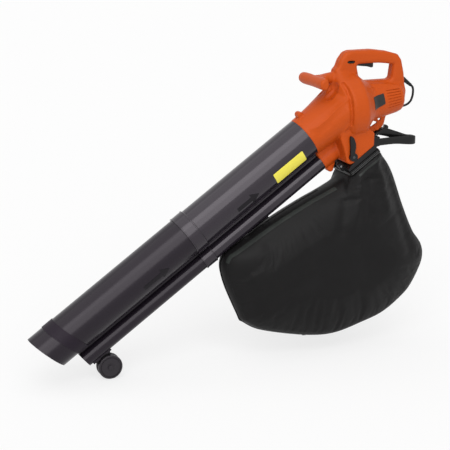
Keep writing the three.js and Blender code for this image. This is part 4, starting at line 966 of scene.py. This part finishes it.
skinned("bag_frame", BLACK_ABS, "machine", 0.0006)
skinned("bag_latch", BLACK_ABS, "latch", 0.0006)
skinned("bag_latch_pin", SCREW_STEEL, "machine", 0.0002)
for side in ("left", "right"):
    skinned(f"bag_rivet_{side}", SCREW_STEEL, "machine", 0.0003)

# ---------------------------------------------------------------------------------------------
# Bag
# Coated black nylon, cut as two panels and sewn all round with a piped seam. Air fills it, and
# its neck is gathered under a webbing cuff round the frame.


def weave_texture():
    """Plain weave: threads that pass over and under each other, with slow creases."""
    group, start, end = texture_group(
        "weave_texture", [("Threads per metre", 1300.0), ("Crease", 0.4)], ["Height", "Tint"])
    place = group.nodes.new("ShaderNodeTexCoord").outputs["Object"]
    split = group.nodes.new("ShaderNodeSeparateXYZ")
    group.links.new(place, split.inputs[0])
    turn = calculate(group, "MULTIPLY", start.outputs["Threads per metre"], math.pi)
    half_y = calculate(group, "MULTIPLY", split.outputs["Y"], 0.5)
    along = calculate(group, "ADD", split.outputs["X"], half_y)
    across_threads = calculate(group, "ADD", split.outputs["Z"], half_y)
    warp = calculate(group, "SINE", calculate(group, "MULTIPLY", along, turn))
    weft = calculate(group, "SINE", calculate(group, "MULTIPLY", across_threads, turn))
    threads = calculate(group, "MULTIPLY", warp, weft)
    crease = noise(group, place, 22.0, 3.0)
    fine = calculate(group, "MULTIPLY", threads, 0.12)
    height = calculate(group, "MULTIPLY_ADD", crease, start.outputs["Crease"], fine)
    tint = calculate(group, "MULTIPLY_ADD", threads, 0.25, crease, clamp=True)
    group.links.new(height, end.inputs["Height"])
    group.links.new(tint, end.inputs["Tint"])
    return group


WEAVE_TEXTURE = weave_texture()


def woven(name, colour, roughness, threads, crease, spread, distance, shine):
    """Cloth or webbing, at so many threads for each metre."""
    made, tree, shader = new_material(name, colour, roughness, shine=shine)
    texture = tree.nodes.new("ShaderNodeGroup")
    texture.node_tree = WEAVE_TEXTURE
    texture.inputs["Threads per metre"].default_value = threads
    texture.inputs["Crease"].default_value = crease
    tinted(tree, shader, texture.outputs["Tint"], colour, spread)
    bumped(tree, shader, texture.outputs["Height"], 0.6, distance)
    return made


BAG_NYLON = woven("bag_nylon", (0.0068, 0.0064, 0.0066), 0.50, 1300, 1.6, 0.25, 0.0006, 0.14)
WEBBING = woven("black_webbing", (0.0035, 0.0035, 0.0037), 0.30, 700, 0.3, 0.35, 0.0004, 0.3)
# lighter tape: its own colour on the neck's hem, a painted highlight where it lies along the top seam
HEM_AND_HIGHLIGHT_TAPE = woven("hem_tape", (0.020, 0.023, 0.021), 0.45, 900, 0.3, 0.35, 0.0005, 0.2)
THREAD = woven("sewing_thread", (0.022, 0.022, 0.023), 0.6, 2500, 0.2, 0.3, 0.0002, 0.15)

BAG_HALF, HEM_HALF = 0.076, 0.0025
PANEL_RINGS, PANEL_STEPS = 18, 8
NECK_END = 0.1585
BAG_CENTRE = (-0.140, -0.560)
# the edge of the bag: [X, Z, half its thickness there], from the neck's front corner round
BAG_EDGE = [
    (-0.0775, -0.3255, 0.052), (-0.0845, -0.3375, 0.030), (-0.114, -0.354, 0.010),
    (-0.158, -0.374, 0.004), (-0.212, -0.398, 0.003), (-0.305, -0.445, 0.003),
    (-0.420, -0.512, 0.003), (-0.446, -0.530, 0.003), (-0.457, -0.552, 0.003),
    (-0.458, -0.579, 0.003), (-0.443, -0.631, 0.003), (-0.408, -0.712, 0.003),
    (-0.399, -0.7325, 0.003), (-0.390, -0.7395, 0.003), (-0.334, -0.771, 0.003),
    (-0.206, -0.803, 0.003), (-0.108, -0.810, 0.003),
    (-0.009, -0.786, 0.003), (0.057, -0.763, 0.003), (0.124, -0.717, 0.003),
    (0.156, -0.677, 0.003), (0.186, -0.612, 0.003), (0.182, -0.565, 0.003),
    (0.150, -0.518, 0.003), (0.113, -0.435, 0.003), (0.072, -0.332, 0.008),
    (0.030, -0.280, 0.034), (0.004, -0.267, 0.055),
]


def through(points, steps, closed=True):
    """A smooth line through the points, in so many steps from one to the next."""
    ring = np.array(points, float)
    if closed:
        before, here, after, later = (np.roll(ring, shift, 0) for shift in (1, 0, -1, -2))
    else:
        long = np.vstack([2 * ring[0] - ring[1], ring, 2 * ring[-1] - ring[-2]])
        before, here, after, later = long[:-3], long[1:-2], long[2:-1], long[3:]
    line = []
    for p0, p1, p2, p3 in zip(before, here, after, later):
        for i in range(steps):
            t = i / steps
            line.append(0.5 * (2 * p1 + (p2 - p0) * t + (2 * p0 - 5 * p1 + 4 * p2 - p3) * t * t
                               + (3 * p1 - p0 - 3 * p2 + p3) * t ** 3))
    if not closed:
        line.append(ring[-1])
    return np.array(line)


def bag_panels():
    """The filled bag before it settles: two crowned panels that share their edge."""
    edge = through(BAG_EDGE, PANEL_STEPS)
    edge[:, 2] = np.maximum(edge[:, 2], HEM_HALF)
    count = len(edge)
    body = bmesh.new()
    loops = []
    for side in (-1, 1):
        for ring in range(PANEL_RINGS + 1) if side < 0 else range(PANEL_RINGS, -1, -1):
            out = math.sin(0.5 * math.pi * (ring + 0.6) / (PANEL_RINGS + 0.6))
            full = math.sqrt(max(0.0, 1 - out ** 4.2))
            loops.append([
                body.verts.new((
                    BAG_CENTRE[0] + (x - BAG_CENTRE[0]) * out,
                    side * (half + (BAG_HALF - half) * full),
                    BAG_CENTRE[1] + (z - BAG_CENTRE[1]) * out,
                )) for x, z, half in edge
            ])
    bridged(body, loops)
    for loop, y in ((loops[0], -BAG_HALF), (loops[-1], BAG_HALF)):
        middle = body.verts.new((BAG_CENTRE[0], y, BAG_CENTRE[1]))
        for i in range(count):
            body.faces.new((loop[i], loop[(i + 1) % count], middle))
    return built(body, "bag_shell", made=BAG_NYLON)


def unframed(points, matrix):
    """The way back from the axes of a leaning frame."""
    turn = np.array(matrix)
    return points @ turn[:3, :3].T + turn[:3, 3]


def below_neck(points):
    """Points above the frame's lower edge are brought down to it."""
    s, y, up = frame_part(points, TUBE_FRAME).T
    neck = (s > -0.125) & (s < 0.12)
    up = np.where(neck, np.minimum(up, -NECK_END), up)
    return unframed(np.stack([s, y, up], axis=1), TUBE_FRAME)


def fold(points, path, width, height):
    """A soft crease along a line of the side view, on both faces of the bag."""
    near = np.exp(-(distance_to(points[:, [0, 2]], path) / width) ** 2)
    points[:, 1] += np.sign(points[:, 1]) * np.clip(abs(points[:, 1]) / 0.05, 0, 1) * near * height


# soft folds that hang from the neck: [path in the XZ plane, width, height]
NECK_FOLDS = [
    ([(-0.080, -0.335), (-0.098, -0.400), (-0.120, -0.480)], 0.016, -0.0055),
    ([(-0.055, -0.330), (-0.066, -0.400), (-0.078, -0.470)], 0.013, 0.0040),
    ([(-0.030, -0.312), (-0.028, -0.380), (-0.030, -0.450)], 0.012, -0.0040),
    ([(0.000, -0.290), (0.018, -0.350), (0.038, -0.430)], 0.013, 0.0036),
    ([(0.020, -0.300), (0.058, -0.390), (0.090, -0.480), (0.115, -0.560)], 0.016, -0.0050),
    ([(-0.100, -0.352), (-0.200, -0.420), (-0.330, -0.500)], 0.022, -0.0060),
    ([(-0.390, -0.700), (-0.300, -0.640), (-0.200, -0.600)], 0.030, -0.0040),
    ([(0.100, -0.700), (0.040, -0.640), (-0.030, -0.600)], 0.032, -0.0045),
]


def sewn_in(points):
    """0 at the neck and at the edge seam, where the cloth is held, up to 1 on the open cloth."""
    edge = through([(x, z) for x, z, _ in BAG_EDGE], 6)
    seam = distance_to(points[:, [0, 2]], [*edge, edge[0]])
    neck = -frame_part(points, TUBE_FRAME)[:, 2] - NECK_END
    return np.clip((seam - 0.004) / 0.02, 0, 1) * np.clip((neck - 0.004) / 0.03, 0, 1)


SETTLE_CAP = 0.009


def filled_by_air(piece):
    """Lets the cloth settle under the air's pressure. No point moves further than the cap."""
    rest = points_of(piece.data)
    held = piece.vertex_groups.new(name="held")
    for index, free in enumerate(sewn_in(rest)):
        held.add([index], float(1 - free), "REPLACE")
    cloth = piece.modifiers.new("cloth", "CLOTH")
    settings = cloth.settings
    settings.use_pressure = True
    settings.uniform_pressure_force = 4.0
    settings.vertex_group_mass = "held"
    settings.effector_weights.gravity = 0.0
    settings.shrink_min = -0.012
    settings.quality = 6
    cloth.point_cache.frame_start, cloth.point_cache.frame_end = 1, 20
    for moment in range(1, 21):
        scene.frame_set(moment)
    applied(piece)
    piece.vertex_groups.clear()
    moved = points_of(piece.data) - rest
    far = np.linalg.norm(moved, axis=1, keepdims=True)
    put_points(piece.data, rest + moved * np.minimum(1, SETTLE_CAP / np.maximum(far, 1e-9)))
    scene.frame_set(1)


bag = bag_panels()
put_points(bag.data, below_neck(points_of(bag.data)))
remeshed(bag, 0.0055)
smooth_blends(bag.data, 5, lambda points: np.ones(len(points)))
filled_by_air(bag)
bag_points = points_of(bag.data)
for path, width, height in NECK_FOLDS:
    fold(bag_points, path, width, height)
put_points(bag.data, bag_points)
softened = bag.modifiers.new("round", "SUBSURF")
softened.levels = softened.render_levels = 1
applied(bag)
finished(bag, BAG_NYLON, 180)
settle(bag, "machine", "bag_body", "bag_body")

# seam: a thin piping round the edge, a row of stitches on each face beside it, and flat tapes
# sewn over the top seam and the hem of the neck; the lighter tape on the top seam is a painted highlight
STITCH_SIZES = {"Pitch": 0.005, "Length": 0.0034, "Radius": 0.00045}


def strip_tree(name, sizes):
    """Geometry Nodes that set small bars end to end along a line."""
    tree = bpy.data.node_groups.new(name, "GeometryNodeTree")
    tree.interface.new_socket("Path", in_out="INPUT", socket_type="NodeSocketGeometry")
    for label, value in sizes.items():
        socket = tree.interface.new_socket(label, in_out="INPUT", socket_type="NodeSocketFloat")
        socket.default_value = value
    tree.interface.new_socket("Finish", in_out="INPUT", socket_type="NodeSocketMaterial")
    tree.interface.new_socket("Row", in_out="OUTPUT", socket_type="NodeSocketGeometry")
    start, end = tree.nodes.new("NodeGroupInput"), tree.nodes.new("NodeGroupOutput")
    made = {}
    for kind in ("MeshToCurve", "ResampleCurve", "InstanceOnPoints", "MeshCylinder", "RealizeInstances",
                 "SetMaterial", "SetShadeSmooth", "InputTangent"):
        made[kind] = tree.nodes.new("GeometryNode" + kind)
    align = tree.nodes.new("FunctionNodeAlignRotationToVector")
    align.axis = "Z"
    made["ResampleCurve"].mode = "LENGTH"
    made["MeshCylinder"].inputs["Vertices"].default_value = 6
    link = tree.links.new
    link(start.outputs["Path"], made["MeshToCurve"].inputs["Mesh"])
    link(made["MeshToCurve"].outputs["Curve"], made["ResampleCurve"].inputs["Curve"])
    link(start.outputs["Pitch"], made["ResampleCurve"].inputs["Length"])
    link(start.outputs["Length"], made["MeshCylinder"].inputs["Depth"])
    link(start.outputs["Radius"], made["MeshCylinder"].inputs["Radius"])
    link(made["ResampleCurve"].outputs["Curve"], made["InstanceOnPoints"].inputs["Points"])
    link(made["MeshCylinder"].outputs["Mesh"], made["InstanceOnPoints"].inputs["Instance"])
    link(made["InputTangent"].outputs["Tangent"], align.inputs["Vector"])
    link(align.outputs["Rotation"], made["InstanceOnPoints"].inputs["Rotation"])
    link(made["InstanceOnPoints"].outputs["Instances"], made["RealizeInstances"].inputs["Geometry"])
    link(made["RealizeInstances"].outputs["Geometry"], made["SetShadeSmooth"].inputs["Geometry"])
    link(made["SetShadeSmooth"].outputs["Geometry"], made["SetMaterial"].inputs["Geometry"])
    link(start.outputs["Finish"], made["SetMaterial"].inputs["Material"])
    link(made["SetMaterial"].outputs["Geometry"], end.inputs["Row"])
    return tree


STITCH_ROW = strip_tree("stitch_row", STITCH_SIZES)


def row_along(path, name, made):
    """Bars set along a line by the stitch tree, as a plain mesh."""
    mesh = bpy.data.meshes.new(name)
    mesh.from_pydata([tuple(p) for p in path], [(i, i + 1) for i in range(len(path) - 1)], [])
    piece = object_from(mesh, name)
    modifier = piece.modifiers.new("row", "NODES")
    modifier.node_group = STITCH_ROW
    values = {**STITCH_SIZES, "Finish": made}
    for item in STITCH_ROW.interface.items_tree:
        if item.in_out == "INPUT" and item.name in values:
            modifier[item.identifier] = values[item.name]
    applied(piece)
    return piece


def cord_mesh(path, radius, name, made):
    """A thin round cord of mesh along a path."""
    curve = bpy.data.curves.new(name, "CURVE")
    curve.dimensions = "3D"
    curve.bevel_depth = radius
    curve.bevel_resolution = 2
    curve.use_fill_caps = True
    line = curve.splines.new("POLY")
    line.points.add(len(path) - 1)
    for knot, point in zip(line.points, path):
        knot.co = (*point, 1)
    shape = bpy.data.objects.new(name, curve)
    scene.collection.objects.link(shape)
    graph = bpy.context.evaluated_depsgraph_get()
    mesh = bpy.data.meshes.new_from_object(shape.evaluated_get(graph))
    bpy.data.objects.remove(shape)
    return finished(object_from(mesh, name), made, 60)


PIPED_EDGE = BAG_EDGE[3:26]
PIPING_R = 0.0019
STITCH_INSET = 0.011
edge_line = through([(x, 0, z) for x, z, _ in PIPED_EDGE], 8, closed=False)
piping = cord_mesh(edge_line, PIPING_R, "bag_piping", BAG_NYLON)
settle(piping, "machine", "bag_body")

surface = BVHTree.FromPolygons(
    [tuple(p) for p in points_of(bag.data)], [tuple(f.vertices) for f in bag.data.polygons])
for side in (-1, 1):
    row = []
    for x, z, _ in through(PIPED_EDGE, 10, closed=False):
        inward = Vector((BAG_CENTRE[0] - x, 0, BAG_CENTRE[1] - z)).normalized() * STITCH_INSET
        spot, facing, _, _ = surface.ray_cast(Vector((x + inward.x, side * 0.2, z + inward.z)),
                                              Vector((0, -side, 0)))
        if spot is not None:
            row.append(spot + facing * 0.0002)
    stitches = row_along(row, "bag_stitches_" + ("right" if side > 0 else "left"), THREAD)
    settle(stitches, "machine", "bag_body")


TAPE_PROUD, TAPE_EDGE, TAPE_SUNK = 0.0008, 0.0005, 0.0012


def taped(path, near, far, side, name):
    """A flat tape sewn on the cloth beside a line of the side view, from near to far below it."""
    body = bmesh.new()
    rows = []
    for before, here, after in zip(path[:-2], path[1:-1], path[2:]):
        run = Vector((after[0] - before[0], 0, after[1] - before[1])).normalized()
        inward = Vector((run.z, 0, -run.x))
        outer, inner = [], []
        for share in (0.0, 0.5, 1.0):
            spot = Vector((here[0], side * 0.2, here[1])) + inward * (near + (far - near) * share)
            found, facing, _, _ = surface.ray_cast(spot, Vector((0, -side, 0)))
            if found is None:
                break
            outer.append(found + facing * (TAPE_PROUD if share == 0.5 else TAPE_EDGE))
            inner.append(found - facing * TAPE_SUNK)
        else:
            rows.append([body.verts.new(p) for p in outer + inner[::-1]])
    bridged(body, rows, capped=True)
    return finished(built(body, name), HEM_AND_HIGHLIGHT_TAPE, 50)


# along the top seam the lighter tape is a painted highlight; at the neck it is the hem's own tape
TOP_HIGHLIGHT_TAPE, HEM_BAND = (0.006, 0.013), (0.010, 0.0155)
TOP_SEAM = [(x, z) for x, z, _ in through(BAG_EDGE[2:9], 8, closed=False)][::-1]
NECK_SEAM = unframed(np.array([(s, 0, -NECK_END) for s in np.linspace(-0.078, 0.016, 20)]),
                     TUBE_FRAME)[:, [0, 2]]
for side, name in ((-1, "left"), (1, "right")):
    settle(taped(TOP_SEAM, *TOP_HIGHLIGHT_TAPE, side, "bag_top_tape_" + name), "machine", "bag_body")
    settle(taped(NECK_SEAM, *HEM_BAND, side, "bag_neck_hem_" + name), "machine", "bag_body")

# cuff: webbing wound round the frame's groove, with the gathered cloth rolled over it
FRAME_FRONT, FRAME_REAR, FRAME_HALF = -0.088, 0.018, 0.060


def belt(profile, corner, name, made):
    """A closed section carried round the frame. The section is in [outwards, depth] lengths."""
    body = bmesh.new()
    rings = []
    for out, depth in profile:
        low = (FRAME_FRONT - out, -FRAME_HALF - out)
        high = (FRAME_REAR + out, FRAME_HALF + out)
        outline = rounded_corners(low, high, corner + max(0.0, out), 6)
        rings.append([body.verts.new((s, y, -depth)) for s, y in outline])
    bridged(body, rings + rings[:1])
    return finished(built(body, name, TUBE_FRAME), made, 40)


CUFF_PROFILE = [
    (-0.0018, 0.1472), (0.0010, 0.1470), (0.0026, 0.1477), (0.0030, 0.1490), (0.0022, 0.1502),
    (0.0016, 0.1508), (0.0030, 0.1516), (0.0037, 0.1530), (0.0030, 0.1544), (0.0018, 0.1550),
    (0.0032, 0.1558), (0.0040, 0.1572), (0.0032, 0.1588), (0.0012, 0.1596), (-0.0010, 0.1590),
    (-0.0018, 0.1566),
]
cuff = belt(CUFF_PROFILE, 0.004, "bag_cuff_roll", WEBBING)
settle(cuff, "machine", "bag_cuff", "bag_cuff")

# ---------------------------------------------------------------------------------------------
# Loop, tie and zip
# A webbing loop behind the neck carries the bag, a short tie hangs its front on the tube, and a
# zip along the bottom seam lets the leaves out.

NECK_CORNER = (-0.01082, -0.244898)
LOOP_HALF = 0.0085
LOOP_LINE = [
    # along X, across Y, upper edge, lower edge, all from the corner of the neck
    (0.0440, 1.0, 0.0415, 0.0165), (0.0768, 1.0, 0.0330, 0.0085), (0.1148, 1.0, 0.0196, -0.0052),
    (0.1400, 0.98, 0.0105, -0.0155), (0.1560, 0.80, 0.0085, -0.0185), (0.1638, 0.40, 0.0065, -0.0175),
    (0.1655, 0.0, 0.0055, -0.0165), (0.1638, -0.40, 0.0060, -0.0168), (0.1560, -0.80, 0.0080, -0.0175),
    (0.1400, -0.98, 0.0090, -0.0165), (0.0948, -1.0, 0.0095, -0.0118), (0.0440, -1.0, 0.0080, -0.0128),
]


def course(rows):
    """The middle of the webbing at each row of its line, and its direction there."""
    middle = rows[:, :2] * [1, LOOP_HALF]
    run = np.gradient(middle, axis=0)
    return middle, run / np.linalg.norm(run, axis=1, keepdims=True)


def ribbon(line, thickness, name, made):
    """Flat webbing on edge: a section with rounded edges carried along its line."""
    rows = through(line, 8, closed=False)
    middle, run = course(rows)
    body = bmesh.new()
    rings = []
    half = thickness / 2
    for (x, y), (dx, dy), (_, _, top, low) in zip(middle, run, rows):
        ring = []
        for out, share in ((-1, 0.05), (-1, 0.5), (-1, 0.95), (-0.5, 1), (0.5, 1), (1, 0.95), (1, 0.5),
                           (1, 0.05), (0.5, 0), (-0.5, 0)):
            ring.append(body.verts.new((
                NECK_CORNER[0] + x - dy * out * half, y + dx * out * half,
                NECK_CORNER[1] + low + (top - low) * share)))
        rings.append(ring)
    bridged(body, rings, capped=True)
    return finished(built(body, name), made, 50)


loop = ribbon(LOOP_LINE, 0.0028, "carry_loop", WEBBING)
settle(loop, "machine", "bag_carry_loop", "bag_carry_loop")
SEWN_INSET, SEWN_OUT = 0.003, 0.0015
sewn_rows = through(LOOP_LINE, 8, closed=False)[4:-4]
middle, run = course(sewn_rows)
for name, heights in (("upper", sewn_rows[:, 2] - SEWN_INSET), ("lower", sewn_rows[:, 3] + SEWN_INSET)):
    path = [(NECK_CORNER[0] + x + dy * SEWN_OUT, y - dx * SEWN_OUT, NECK_CORNER[1] + h)
            for (x, y), (dx, dy), h in zip(middle, run, heights)]
    stitches = row_along(path, "loop_stitches_" + name, THREAD)
    settle(stitches, "machine", "bag_carry_loop")
skinned("bag_hanger_strap", WEBBING, "machine", 0.0006)
skinned("bag_zip_slider", BLACK_ABS, "zip", 0.0005)
